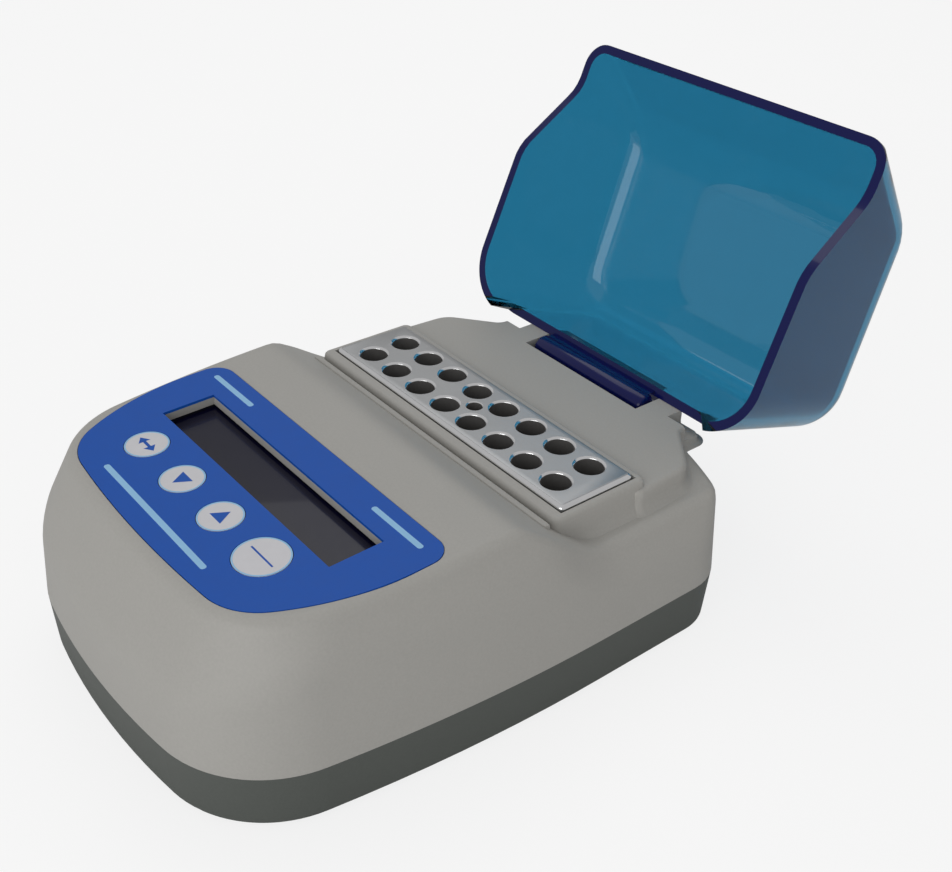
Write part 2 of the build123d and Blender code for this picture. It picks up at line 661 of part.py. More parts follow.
def heating_block():
    """Aluminium block with two rows of tapered wells and a probe hole between them."""
    block = Pos(0, 0, block_bottom_z()) * slab(BLOCK_LENGTH, BLOCK_WIDTH, BLOCK_HEIGHT)
    block = fillet(block.edges().filter_by(Axis.Z), BLOCK_CORNER)
    block = chamfer(block.faces().sort_by(Axis.Z)[-1].edges(), BLOCK_CHAMFER)
    radius = WELL_DIAMETER / 2
    tip = WELL_TIP_DIAMETER / 2
    bottom = -WELL_STRAIGHT - WELL_CONE
    well = revolve(Plane.XZ * make_face(Polyline(
        (0, bottom), (tip, bottom), (radius, -WELL_STRAIGHT), (radius, -WELL_CHAMFER),
        (radius + WELL_CHAMFER, 0), (radius + WELL_CHAMFER, WALL), (0, WALL), close=True)), Axis.Z)
    for x, y in well_spots():
        block -= Pos(x, y, BLOCK_TOP_Z) * well
    probe = disc(PROBE_HOLE_DIAMETER, PROBE_HOLE_DEPTH + WALL)
    block -= Pos(0, 0, BLOCK_TOP_Z - PROBE_HOLE_DEPTH) * probe
    block -= sensor_place() * disc(SENSOR_DIAMETER + 2 * RUNNING, SENSOR_LENGTH + FIT)
    for sign in (-1, 1):
        hole = disc(SCREW_DIAMETER + 2 * RUNNING, BLOCK_SCREW_LENGTH)
        block -= Pos(sign * BLOCK_SCREW_X, 0, tray_bottom_z()) * hole
    return block


def block_bottom_z():
    """Height of the well block's underside."""
    return BLOCK_TOP_Z - BLOCK_HEIGHT


def tray_bottom_z():
    """Height of the insulating tray's underside."""
    return block_bottom_z() - HEATER_THICKNESS - CLAMP_PLATE_THICKNESS - TRAY_WALL


def tray_ear_x():
    """Distance of the tray's screw ears from the middle."""
    return BLOCK_LENGTH / 2 + FIT + TRAY_WALL + TRAY_EAR_LENGTH / 2


def sensor_place():
    """Mouth of the sensor's hole in the block's left end, Z pointing into the block."""
    return Pos(-BLOCK_LENGTH / 2, 0, block_bottom_z() + SENSOR_ABOVE_BASE) * Rot(0, 90, 0)


def insulation_tray():
    """Heat-proof tray that carries the block, with an ear at each end."""
    bottom = tray_bottom_z()
    height = SHOULDER_Z - WALL - TRAY_TOP_GAP - bottom
    length, width = block_length_with_gap()
    tray = Pos(0, 0, bottom) * slab(length + 2 * TRAY_WALL, width + 2 * TRAY_WALL, height)
    tray = fillet(tray.edges().filter_by(Axis.Z), TRAY_WALL)
    for sign in (-1, 1):
        ear = slab(TRAY_EAR_LENGTH + TRAY_WALL, TRAY_EAR_WIDTH, TRAY_WALL)
        tray += Pos(sign * (tray_ear_x() - TRAY_WALL / 2), 0, bottom) * ear
    tray -= Pos(0, 0, bottom + TRAY_WALL) * slab(length, width, height)
    for sign in (-1, 1):
        tray -= Pos(sign * tray_ear_x(), 0, bottom) * disc(SMALL_SCREW_DIAMETER + 2 * SNUG, height)
        screw_place = Pos(sign * BLOCK_SCREW_X, 0, bottom)
        tray -= screw_place * disc(SCREW_DIAMETER + 2 * SNUG, height)
        tray -= screw_place * disc(SCREW_HEAD_DIAMETER + 2 * SNUG, TRAY_WALL / 2)
    tray -= Pos(0, 0, bottom) * slab(CUTOUT_LENGTH + 2 * FIT, CUTOUT_WIDTH + 2 * FIT, TRAY_WALL)
    lead = disc(SENSOR_LEAD_DIAMETER + 2 * SNUG, 4 * TRAY_WALL)
    tray -= sensor_place() * Pos(0, 0, -4 * TRAY_WALL) * lead
    for x in heater_lead_xs():
        groove = slab(LEAD_DIAMETER + 2 * SNUG, width, HEATER_THICKNESS)
        tray -= Pos(x, -width / 2, bottom + TRAY_WALL + CLAMP_PLATE_THICKNESS) * groove
    return tray


def heater_lead_xs():
    """Places of the two heater leads along the tray's front."""
    return -CUTOUT_LENGTH, -CUTOUT_LENGTH + 3 * LEAD_DIAMETER


def plate_under_block(bottom, thickness):
    """Plate of the block's plan with the two screw holes."""
    plate = Pos(0, 0, bottom) * slab(BLOCK_LENGTH - 2 * FIT, BLOCK_WIDTH - 2 * FIT, thickness)
    for sign in (-1, 1):
        hole = disc(SCREW_DIAMETER + 2 * SNUG, thickness)
        plate -= Pos(sign * BLOCK_SCREW_X, 0, bottom) * hole
    return plate


def heater_pad():
    """Flat heater pressed against the block."""
    return plate_under_block(block_bottom_z() - HEATER_THICKNESS, HEATER_THICKNESS)


def clamp_plate():
    """Metal plate that presses the heater against the block."""
    return plate_under_block(tray_bottom_z() + TRAY_WALL, CLAMP_PLATE_THICKNESS)


def block_screws():
    """Two screws that draw tray, plate and heater against the block."""
    one = Rot(180, 0, 0) * screw(SCREW_DIAMETER, SCREW_HEAD_DIAMETER, TRAY_WALL / 2,
                                 BLOCK_SCREW_LENGTH - TRAY_WALL / 2)
    seat = tray_bottom_z() + TRAY_WALL / 2
    return [Pos(sign * BLOCK_SCREW_X, 0, seat) * one for sign in (-1, 1)]


def tray_screws():
    """Two screws through the tray's ears into the base."""
    one = screw(SMALL_SCREW_DIAMETER, SMALL_SCREW_HEAD_DIAMETER, SMALL_SCREW_HEAD_HEIGHT,
                TRAY_SCREW_LENGTH)
    seat = tray_bottom_z() + TRAY_WALL
    return [Pos(sign * tray_ear_x(), 0, seat) * one for sign in (-1, 1)]


def temperature_sensor():
    """Sensor tube in the block's end, with the stub of its lead."""
    tube = disc(SENSOR_DIAMETER, SENSOR_LENGTH)
    tube = fillet(tube.faces().sort_by(Axis.Z)[-1].edges(), SENSOR_DIAMETER / 4)
    return sensor_place() * tube


def thermal_cutout():
    """Over-temperature cutout under the clamp plate."""
    body = slab(CUTOUT_LENGTH, CUTOUT_WIDTH, CUTOUT_HEIGHT)
    body = fillet(body.edges().filter_by(Axis.Z), CUTOUT_WIDTH / 4)
    return Pos(0, 0, tray_bottom_z() + TRAY_WALL - CUTOUT_HEIGHT) * body


def lid_top_z(y):
    """Height of the closed lid's top at a distance from the block."""
    return LID_TOP_REAR_Z - (LID_REAR_Y - y) * math.tan(math.radians(LID_TOP_TILT))


def lid_form(inset=0.0):
    """Closed lid as a solid, or its inside, set in by the wall."""
    rise = LID_TOP_REAR_Z - SHOULDER_Z + LID_WALL
    rear, front = LID_REAR_Y - inset, LID_FRONT_Y + inset
    rear_half, front_half = LID_REAR_HALF_WIDTH - inset, LID_FRONT_HALF_WIDTH - inset
    plan = Face(Wire(Polyline((front_half, front), (rear_half, rear), (-rear_half, rear),
                              (-front_half, front), close=True).edges()))
    column = Pos(0, 0, SHOULDER_Z) * extrude(plan, rise, taper=LID_DRAFT)
    lean = math.radians(LID_FRONT_LEAN)
    tilt = math.tan(math.radians(LID_TOP_TILT))
    knee = LID_FRONT_KNEE_Z - inset * math.tan(lean / 2)
    top_front = LID_TOP_REAR_Z - inset / math.cos(math.radians(LID_TOP_TILT))
    corner_z = (top_front - tilt * (LID_REAR_Y - front) - tilt * math.tan(lean) * knee) / (
        1 - tilt * math.tan(lean))
    corner_y = front + (corner_z - knee) * math.tan(lean)
    reach = LID_REAR_Y + LID_REAR_CORNER
    side = filled(Polyline((reach, 0), (reach, top_front + (reach - LID_REAR_Y) * tilt),
                           (corner_y, corner_z), (front, knee), (front, 0), close=True))
    form = column & extrude(Plane.YZ * side, CASE_HALF_WIDTH, both=True)
    upright = form.edges().filter_by(lambda e: abs((e @ 0).Z - (e @ 1).Z) > LID_WALL)
    rear_edges = upright.filter_by(lambda e: e.center().Y > DECK_CORNER_Y)
    form = fillet(rear_edges, LID_REAR_CORNER - inset)
    upright = form.edges().filter_by(lambda e: abs((e @ 0).Z - (e @ 1).Z) > LID_WALL)
    front_edges = upright.filter_by(lambda e: e.center().Y < 0 and abs(e.center().X) > NECK_HALF_WIDTH)
    form = fillet(front_edges, LID_FRONT_CORNER - inset)
    drop = inset / math.cos(math.radians(LID_TOP_TILT))
    top = form.edges().filter_by(
        lambda e: all(abs((e @ s).Z + drop - lid_top_z((e @ s).Y)) < RUNNING for s in (0.1, 0.5, 0.9)))
    return fillet(top, LID_TOP_ROUND - inset)


def lid():
    """Clear lid with its hinge barrel, turned open."""
    cover = lid_form() - lid_form(LID_WALL)
    cover -= extrude(profile_face(LID_CLEARANCE, 0), CASE_HALF_WIDTH, both=True)
    notch = LID_NOTCH_HALF_WIDTH
    notch_z = DECK_Z + LID_CLEARANCE
    cover -= span_box((-notch, notch), (DECK_CORNER_Y, HINGE_Y + LID_REAR_CORNER), (0, notch_z))
    barrel = hinge_rod(2 * BARREL_RADIUS, BARREL_HALF_LENGTH)
    barrel = fillet(barrel.edges().filter_by(GeomType.CIRCLE), BARREL_RADIUS / 3)
    web = filled(Polyline(
        (HINGE_Y, HINGE_Z), (HINGE_Y, HINGE_Z + BARREL_RADIUS),
        (LID_REAR_Y - LID_WALL / 2, notch_z + LID_WEB_HEIGHT),
        (LID_REAR_Y - LID_WALL / 2, notch_z), (HINGE_Y - BARREL_RADIUS, HINGE_Z), close=True))
    web_half = BARREL_HALF_LENGTH - BARREL_RADIUS / 3
    cover += barrel + extrude(Plane.YZ * web, web_half, both=True)
    cover -= hinge_rod(PIN_DIAMETER + 2 * RUNNING, SLOT_HALF_WIDTH)
    axis = Pos(0, HINGE_Y, HINGE_Z)
    return axis * Rot(-LID_OPENING, 0, 0) * Pos(0, -HINGE_Y, -HINGE_Z) * cover


def hinge_pin():
    """Pin through the lid's barrel and the neck."""
    pin = hinge_rod(PIN_DIAMETER, PIN_HALF_LENGTH)
    return chamfer(pin.edges().filter_by(GeomType.CIRCLE), PIN_DIAMETER / 8)


def panel_overlay():
    """Blue panel film with its display window and key openings."""
    recess = OVERLAY_THICKNESS - OVERLAY_PROUD
    film = panel_plate(overlay_outline(), -OVERLAY_PROUD, recess)
    film -= window_box(0.0, -WALL, 2 * WALL)
    for x, radius in zip(KEY_XS, KEY_RADII):
        film -= on_panel(x, KEY_Y, 2 * WALL) * disc(2 * (radius + SNUG), 3 * WALL)
    return film


def key(x, radius):
    """Round key flush with the film, its flange held under the shell."""
    depth = WALL + RUNNING
    cap = on_panel(x, KEY_Y, depth) * disc(2 * radius, depth + OVERLAY_PROUD)
    flange = on_panel(x, KEY_Y, depth + KEY_FLANGE_THICKNESS) * disc(
        2 * (radius + KEY_FLANGE), KEY_FLANGE_THICKNESS)
    stem_depth = depth + KEY_FLANGE_THICKNESS + KEY_STEM_LENGTH
    return cap + flange + on_panel(x, KEY_Y, stem_depth) * disc(KEY_STEM_DIAMETER, KEY_STEM_LENGTH)


def key_switches():
    """Four small push switches under the keys."""
    body = slab(TACT_SIZE, TACT_SIZE, TACT_BODY)
    body = fillet(body.edges().filter_by(Axis.Z), TACT_SIZE / 10)
    body += Pos(0, 0, TACT_BODY) * disc(TACT_PLUNGER_DIAMETER, TACT_PLUNGER_HEIGHT)
    return [on_panel(x, KEY_Y, key_board_depth()) * body for x in KEY_XS]


def board_plate(half_width, front_y, rear_y):
    """Circuit board outline with its four screw holes, lying at Z = 0."""
    board = span_box((-half_width, half_width), (front_y, rear_y), (0, BOARD_THICKNESS))
    board = fillet(board.edges().filter_by(Axis.Z), BOARD_THICKNESS)
    for x, y in board_spots(half_width, front_y, rear_y):
        board -= Pos(x, y, 0) * disc(SMALL_SCREW_DIAMETER + 2 * SNUG, BOARD_THICKNESS)
    return board


def key_board():
    """Board that carries the key switches and the display."""
    flat = board_plate(KEY_BOARD_HALF_WIDTH, KEY_BOARD_FRONT_Y, KEY_BOARD_REAR_Y)
    return on_panel(0, KEY_Y, key_board_depth() + BOARD_THICKNESS) * Pos(0, -KEY_Y, 0) * flat


def key_board_screws():
    """Four screws that hold the key board to the shell's bosses."""
    one = Rot(180, 0, 0) * screw(SMALL_SCREW_DIAMETER, SMALL_SCREW_HEAD_DIAMETER,
                                 SMALL_SCREW_HEAD_HEIGHT, SMALL_SCREW_LENGTH)
    depth = key_board_depth() + BOARD_THICKNESS
    return [on_panel(x, y, depth) * one for x, y in key_board_spots()]


def display_frame():
    """Black frame of the display, its lip over the glass."""
    top = WALL + FIT
    frame = window_box(DISPLAY_MARGIN, top, key_board_depth())
    frame -= window_box(DISPLAY_MARGIN - DISPLAY_FRAME_WALL, top + DISPLAY_LIP, key_board_depth())
    return frame - window_box(FIT, 0, key_board_depth())


def display_glass():
    """Dark glass of the character display."""
    top = WALL + FIT + DISPLAY_LIP
    return window_box(DISPLAY_MARGIN - DISPLAY_FRAME_WALL - SNUG, top, top + DISPLAY_GLASS)


def display_backlight():
    """Light guide between the display's glass and the board."""
    top = WALL + FIT + DISPLAY_LIP + DISPLAY_GLASS
    return window_box(DISPLAY_MARGIN - DISPLAY_FRAME_WALL - SNUG, top, key_board_depth())


def main_board():
    """Control board on the base's bosses."""
    flat = board_plate(MAIN_BOARD_HALF_WIDTH, MAIN_BOARD_FRONT_Y, MAIN_BOARD_REAR_Y)
    return Pos(0, 0, MAIN_BOARD_Z) * flat


def main_board_screws():
    """Four screws that hold the main board."""
    one = screw(SMALL_SCREW_DIAMETER, SMALL_SCREW_HEAD_DIAMETER, SMALL_SCREW_HEAD_HEIGHT,
                SMALL_SCREW_LENGTH)
    seat = MAIN_BOARD_Z + BOARD_THICKNESS
    return [Pos(x, y, seat) * one for x, y in main_board_spots()]


def switch_housing():
    """Rocker switch body with its bezel, well and pivot holes."""
    bezel = slab(*SWITCH_BEZEL, SWITCH_BEZEL_THICKNESS)
    bezel = fillet(bezel.edges().filter_by(Axis.Z), SWITCH_BEZEL_THICKNESS)
    bezel = fillet(bezel.faces().sort_by(Axis.Z)[-1].edges(), SWITCH_BEZEL_THICKNESS / 3)
    body = Pos(0, 0, -SWITCH_BODY_DEPTH) * slab(*SWITCH_BODY, SWITCH_BODY_DEPTH)
    tip = math.radians(ROCKER_TILT)
    well_length = ROCKER_LENGTH + 2 * (FIT + (ROCKER_CREST + ROCKER_PIVOT_DEPTH) * math.sin(tip))
    well = Pos(0, 0, SWITCH_BEZEL_THICKNESS - SWITCH_WELL_DEPTH) * slab(
        well_length, ROCKER_WIDTH + 2 * FIT, SWITCH_WELL_DEPTH)
    pivot = rocker_pivot(ROCKER_PIVOT_DIAMETER + 2 * RUNNING, ROCKER_PIVOT_REACH + 2 * FIT)
    return rear_wall(SWITCH_ANGLE, FITTING_SEAT) * (bezel + body - well - pivot)


def rocker_pivot(diameter, reach):
    """Trunnion across the switch, reaching past the rocker's sides."""
    rod = Rot(90, 0, 0) * Cylinder(diameter / 2, ROCKER_WIDTH + 2 * reach)
    return Pos(0, 0, SWITCH_BEZEL_THICKNESS - ROCKER_PIVOT_DEPTH) * rod


def power_rocker():
    """Rocker of the power switch, resting in its off position."""
    half = ROCKER_LENGTH / 2
    side = Plane.XZ * filled(Polyline(
        (-half, ROCKER_CREST), (0, ROCKER_VALLEY), (half, ROCKER_CREST),
        (half - ROCKER_VALLEY, -ROCKER_SKIRT), (ROCKER_VALLEY - half, -ROCKER_SKIRT), close=True))
    cap = Pos(0, 0, SWITCH_BEZEL_THICKNESS) * extrude(side, ROCKER_WIDTH / 2, both=True)
    rocker = cap + rocker_pivot(ROCKER_PIVOT_DIAMETER, ROCKER_PIVOT_REACH)
    pivot_z = SWITCH_BEZEL_THICKNESS - ROCKER_PIVOT_DEPTH
    turned = Pos(0, 0, pivot_z) * Rot(0, -ROCKER_TILT / 2, 0) * Pos(0, 0, -pivot_z) * rocker
    return rear_wall(SWITCH_ANGLE, FITTING_SEAT) * turned


def switch_terminals():
    """Two blades at the back of the power switch."""
    width, thickness, length = TERMINAL
    place = rear_wall(SWITCH_ANGLE, FITTING_SEAT + SWITCH_BODY_DEPTH + length)
    spread = SWITCH_BODY[0] / 4
    return [place * Pos(sign * spread, 0, 0) * slab(thickness, width, length) for sign in (-1, 1)]


def power_inlet():
    """Low-voltage socket with its flange."""
    flange = disc(INLET_FLANGE_DIAMETER, INLET_FLANGE_THICKNESS)
    flange = fillet(flange.faces().sort_by(Axis.Z)[-1].edges(), INLET_FLANGE_THICKNESS / 3)
    body = Pos(0, 0, -INLET_BODY_DEPTH) * disc(INLET_BODY_DIAMETER, INLET_BODY_DEPTH)
    bore = Pos(0, 0, INLET_FLANGE_THICKNESS - INLET_BORE_DEPTH) * disc(
        INLET_BORE_DIAMETER, INLET_BORE_DEPTH)
    return rear_wall(INLET_ANGLE, FITTING_SEAT) * (flange + body - bore)


def inlet_contact():
    """Centre pin of the socket."""
    length = INLET_BORE_DEPTH - INLET_FLANGE_THICKNESS
    pin = disc(INLET_PIN_DIAMETER, length)
    pin = fillet(pin.faces().sort_by(Axis.Z)[-1].edges(), INLET_PIN_DIAMETER / 5)
    return rear_wall(INLET_ANGLE, FITTING_SEAT + INLET_BORE_DEPTH - INLET_FLANGE_THICKNESS) * pin


def inlet_nut():
    """Nut that holds the socket from inside."""
    nut = extrude(RegularPolygon(INLET_NUT_DIAMETER / 2, 6), INLET_NUT_THICKNESS)
    nut -= disc(INLET_BODY_DIAMETER + 2 * RUNNING, INLET_NUT_THICKNESS)
    return rear_wall(INLET_ANGLE, WALL + FIT + INLET_NUT_THICKNESS) * nut


def board_top_z():
    """Height of the main board's upper face."""
    return MAIN_BOARD_Z + BOARD_THICKNESS


def on_board(spot):
    """Place on the main board's upper face."""
    return Pos(spot[0], spot[1], board_top_z())


def controller_chip():
    """Controller in a flat package."""
    body = slab(*CHIP_SIZE)
    return on_board(CHIP_SPOT) * chamfer(body.faces().sort_by(Axis.Z)[-1].edges(), CHIP_SIZE[2] / 6)


def capacitors():
    """Two upright capacitors."""
    can = disc(CAPACITOR_DIAMETER, CAPACITOR_HEIGHT)
    can = fillet(can.faces().sort_by(Axis.Z)[-1].edges(), CAPACITOR_DIAMETER / 16)
    return [on_board(spot) * can for spot in CAPACITOR_SPOTS]


def buzzer():
    """Round buzzer with its sound hole."""
    body = disc(BUZZER_DIAMETER, BUZZER_HEIGHT)
    body = fillet(body.faces().sort_by(Axis.Z)[-1].edges(), BUZZER_HEIGHT / 10)
    return on_board(BUZZER_SPOT) * (body - Pos(0, 0, BUZZER_HEIGHT / 2) * disc(
        BUZZER_DIAMETER / 5, BUZZER_HEIGHT))


def heat_sink():
    """Finned sink for the heater's driver."""
    length, width, height = SINK_SIZE
    sink = Pos(0, (width - SINK_BASE_THICKNESS) / 2, 0) * slab(length, SINK_BASE_THICKNESS, height)
    pitch = (length - SINK_FIN_THICKNESS) / (SINK_FINS - 1)
    for i in range(SINK_FINS):
        x = (i - (SINK_FINS - 1) / 2) * pitch
        sink += Pos(x, 0, 0) * slab(SINK_FIN_THICKNESS, width, height)
    return on_board(SINK_SPOT) * sink


def driver_transistor():
    """Power transistor against the back of the sink."""
    length, thickness, height = TRANSISTOR_SIZE
    y = SINK_SIZE[1] / 2 + thickness / 2
    body = slab(length, thickness, height)
    body = fillet(body.edges().filter_by(Axis.Z), thickness / 10)
    return on_board(SINK_SPOT) * Pos(0, y, 0) * body


def board_headers():
    """Three wire headers with their wells."""
    length, width, height = HEADER_SIZE
    body = slab(length, width, height)
    well = Pos(0, 0, height / 2) * slab(length - width / 3, width * 2 / 3, height)
    return [on_board(spot) * (body - well) for spot in HEADER_SPOTS]


def lead(points):
    """Round lead along straight runs joined by arcs."""
    path = FilletPolyline(*points, radius=LEAD_BEND)
    start = Plane(origin=path @ 0, z_dir=path % 0)
    return sweep(start * Circle(LEAD_DIAMETER / 2), path)


def header_mouth(index, across=0.0):
    """Point inside a header's well where a lead ends."""
    x, y = HEADER_SPOTS[index]
    return x + across, y, board_top_z() + HEADER_SIZE[2] / 2 + LEAD_DIAMETER


def heater_leads():
    """Two leads from the heater to a header."""
    z = tray_bottom_z() + TRAY_WALL + CLAMP_PLATE_THICKNESS + LEAD_DIAMETER / 2 + SNUG / 2
    start_y = -BLOCK_WIDTH / 2 + FIT / 2 + SNUG
    rise = board_top_z() + HEADER_SIZE[2] + 2 * LEAD_BEND
    leads = []
    for across, x in zip((-LEAD_DIAMETER, LEAD_DIAMETER), heater_lead_xs()):
        end = header_mouth(1, across)
        leads.append(lead([(x, start_y, z), (x, end[1] / 2 + start_y / 2, z),
                           (end[0], end[1], rise), end]))
    return leads


def sensor_lead():
    """Lead from the sensor tube round the tray to a header."""
    z = block_bottom_z() + SENSOR_ABOVE_BASE
    out_x = -tray_ear_x() - TRAY_EAR_LENGTH / 4
    end = header_mouth(0)
    rise = board_top_z() + HEADER_SIZE[2] + 2 * LEAD_BEND
    front_y = -(BLOCK_WIDTH / 2 + TRAY_WALL + 2 * LEAD_BEND)
    return lead([(-BLOCK_LENGTH / 2, 0, z), (out_x, 0, z), (out_x, front_y, z),
                 (end[0], end[1], rise), end])


def ribbon():
    """Flat ribbon from the key board down to the main board."""
    x, y = HEADER_SPOTS[2]
    low = board_top_z() + HEADER_SIZE[2] / 2 + RIBBON_THICKNESS
    high = panel_z(y) - (key_board_depth() + BOARD_THICKNESS) - RIBBON_THICKNESS
    back = y + 2 * RIBBON_BEND
    path = FilletPolyline((y, low), (y, low + 2 * RIBBON_BEND + RIBBON_THICKNESS),
                          (back, high - 2 * RIBBON_BEND), (back, high), radius=RIBBON_BEND)
    band = Plane.YZ * trace(path, RIBBON_THICKNESS)
    return Pos(x, 0, 0) * extrude(band, RIBBON_WIDTH / 2, both=True)


def sub_parts():
    """Every node by name, in the frame of the well block."""
    parts = {
        "base_shell": base_shell(),
        "upper_shell": upper_shell(),
        "rubber_feet": rubber_feet(),
        "case_screws": case_screws(),
        "heating_block": heating_block(),
        "heater_pad": heater_pad(),
        "clamp_plate": clamp_plate(),
        "insulation_tray": insulation_tray(),
        "block_screws": block_screws(),
        "tray_screws": tray_screws(),
        "temperature_sensor": temperature_sensor(),
        "sensor_lead": sensor_lead(),
        "heater_leads": heater_leads(),
        "thermal_cutout": thermal_cutout(),
        "lid": lid(),
        "hinge_pin": hinge_pin(),
        "panel_overlay": panel_overlay(),
        "key_switches": key_switches(),
        "key_board": key_board(),
        "key_board_screws": key_board_screws(),
        "display_frame": display_frame(),
        "display_glass": display_glass(),
        "display_backlight": display_backlight(),
        "ribbon": ribbon(),
        "main_board": main_board(),
        "main_board_screws": main_board_screws(),
        "controller_chip": controller_chip(),
        "capacitors": capacitors(),
        "buzzer": buzzer(),
        "heat_sink": heat_sink(),
        "driver_transistor": driver_transistor(),
        "board_headers": board_headers(),
        "switch_housing": switch_housing(),
        "power_rocker": power_rocker(),
        "switch_terminals": switch_terminals(),
        "power_inlet": power_inlet(),
        "inlet_contact": inlet_contact(),
        "inlet_nut": inlet_nut(),
    }
    for name, x, radius in zip(KEY_NAMES, KEY_XS, KEY_RADII):
        parts[name] = key(x, radius)
    return parts


def solids_of(shape):
    """All solids of one shape or of a list of shapes."""
    shapes = shape if isinstance(shape, list) else [shape]
    return [solid for item in shapes for solid in item.solids()]


def main():
    """Write each node to its own file, set over the middle of the footprint."""
    os.makedirs("parts", exist_ok=True)
    place = Pos(0, BLOCK_Y, 0)
    for name, shape in sub_parts().items():
        solids = [place * solid for solid in solids_of(shape)]
        whole = solids[0] if len(solids) == 1 else Compound(children=solids)
        export_step(whole, os.path.join("parts", name + ".step"))


if __name__ == "__main__":
    main()
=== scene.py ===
import math

import bmesh
import bpy
import numpy as np
from bpy.props import FloatProperty, FloatVectorProperty, PointerProperty
from mathutils import Matrix, Vector


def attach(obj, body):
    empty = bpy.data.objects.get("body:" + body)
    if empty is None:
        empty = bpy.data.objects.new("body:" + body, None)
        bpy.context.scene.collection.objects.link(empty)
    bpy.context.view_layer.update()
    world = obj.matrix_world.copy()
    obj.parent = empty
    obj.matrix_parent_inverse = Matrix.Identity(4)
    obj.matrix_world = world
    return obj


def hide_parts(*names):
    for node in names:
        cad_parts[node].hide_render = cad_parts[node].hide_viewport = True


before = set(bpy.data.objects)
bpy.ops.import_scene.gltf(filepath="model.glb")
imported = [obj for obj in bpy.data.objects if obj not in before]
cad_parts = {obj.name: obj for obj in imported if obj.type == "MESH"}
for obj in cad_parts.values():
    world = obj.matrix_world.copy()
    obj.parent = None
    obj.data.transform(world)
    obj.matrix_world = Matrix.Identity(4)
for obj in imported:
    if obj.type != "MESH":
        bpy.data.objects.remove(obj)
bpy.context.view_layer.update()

bl_info = {
    "name": "Dry bath incubator",
    "version": (1, 0, 0),
    "blender": (4, 5, 0),
    "location": "View3D > Sidebar > Dry Bath",
    "description": "Dresses the tube heater's packed frame with its finishes, printed panel and clear lid",
    "category": "Object",
}

# Plan sizes below are in millimetres from the middle of the well block, as in the frame's own drawing
BLOCK_Y = 1.8

# Camera found from the photo: its place in the plan, then its azimuth, elevation and roll in degrees
CAMERA_PLACE = (177.32, -147.12, 182.63)
CAMERA_ANGLES = (50.178, 32.953, 2.118)


def place(x, y, z):
    """Point of the shared frame, in metres, from a plan place in millimetres."""
    return Vector((x, y + BLOCK_Y, z)) / 1000.0


# Sizes and colours
def length(name, text, size):
    """Length property with its default written in millimetres."""
    return FloatProperty(name=name, description=text, default=size / 1000.0, min=0.0, unit="LENGTH",
                         precision=5)


def colour(name, text, value):
    """Colour property with a scene-linear default."""
    return FloatVectorProperty(name=name, description=text, default=value, size=3, min=0.0, max=1.0,
                               subtype="COLOR")


class SizeSettings(bpy.types.PropertyGroup):
    """Sizes that can be set by themselves."""

    case_wall: length("Case wall", "Wall of the upper case", 2.2)
    lid_wall: length("Lid wall", "Wall of the clear lid", 2.1)
    film_recess: length("Film recess", "Depth of the recess under the panel film", 0.5)
    key_gap: length("Key gap", "Gap round each key", 0.15)
    barrel: length("Hinge barrel", "Radius of the lid's hinge barrel", 2.9)


def millimetres(metres):
    """Property value in the plan's unit."""
    return metres * 1000.0


class FinishSettings(bpy.types.PropertyGroup):
    """Colours of the visible pieces."""

    shell: colour("Case top", "Warm light grey of the upper moulding", (0.41, 0.40, 0.375))
    base: colour("Case base", "Dark grey of the lower moulding", (0.093, 0.102, 0.093))
    film: colour("Panel film", "Blue of the membrane panel", (0.006, 0.088, 0.44))
    print_light: colour("Light print", "Pale blue of the bars and the keys' rims", (0.30, 0.56, 0.82))
    key: colour("Keys", "Pale grey of the round keys", (0.66, 0.655, 0.68))
    lid: colour("Lid tint", "Blue of the clear moulding", (0.018, 0.17, 0.30))
    block: colour("Well block", "Satin aluminium", (0.36, 0.365, 0.37))


class StageSettings(bpy.types.PropertyGroup):
    """Camera and light."""

    lens: FloatProperty(name="Focal length", description="Focal length of the camera in millimetres",
                        default=47.354, min=10.0)
    key_power: FloatProperty(name="Key light", description="Power of the soft light from above",
                             default=1.5, unit="POWER")
    fill_power: FloatProperty(name="Fill light", description="Power of the soft light from the front",
                              default=3.0, unit="POWER")
    glow: FloatProperty(name="Floor glow", description="Share of the floor that is seen as plain white",
                        default=0.82, min=0.0, max=1.0)
    world: FloatProperty(name="Surroundings", description="Strength of the even light all round",
                         default=0.45, min=0.0)


# Shader maths
class Socket:
    """Output of a shader node that takes part in sums."""

    def __init__(self, shader, output):
        self.shader = shader
        self.output = output

    def _sum(self, operation, first, second):
        if self.output.type in {"RGBA", "VECTOR"}:
            return self.shader.node("ShaderNodeVectorMath", {"operation": operation}, {0: first, 1: second})
        return self.shader.node("ShaderNodeMath", {"operation": operation}, {0: first, 1: second})

    def __add__(self, other):
        return self._sum("ADD", self, other)

    __radd__ = __add__

    def __mul__(self, other):
        return self._sum("MULTIPLY", self, other)

    __rmul__ = __mul__

    def __sub__(self, other):
        return self._sum("SUBTRACT", self, other)

    def __rsub__(self, other):
        return self._sum("SUBTRACT", other, self)


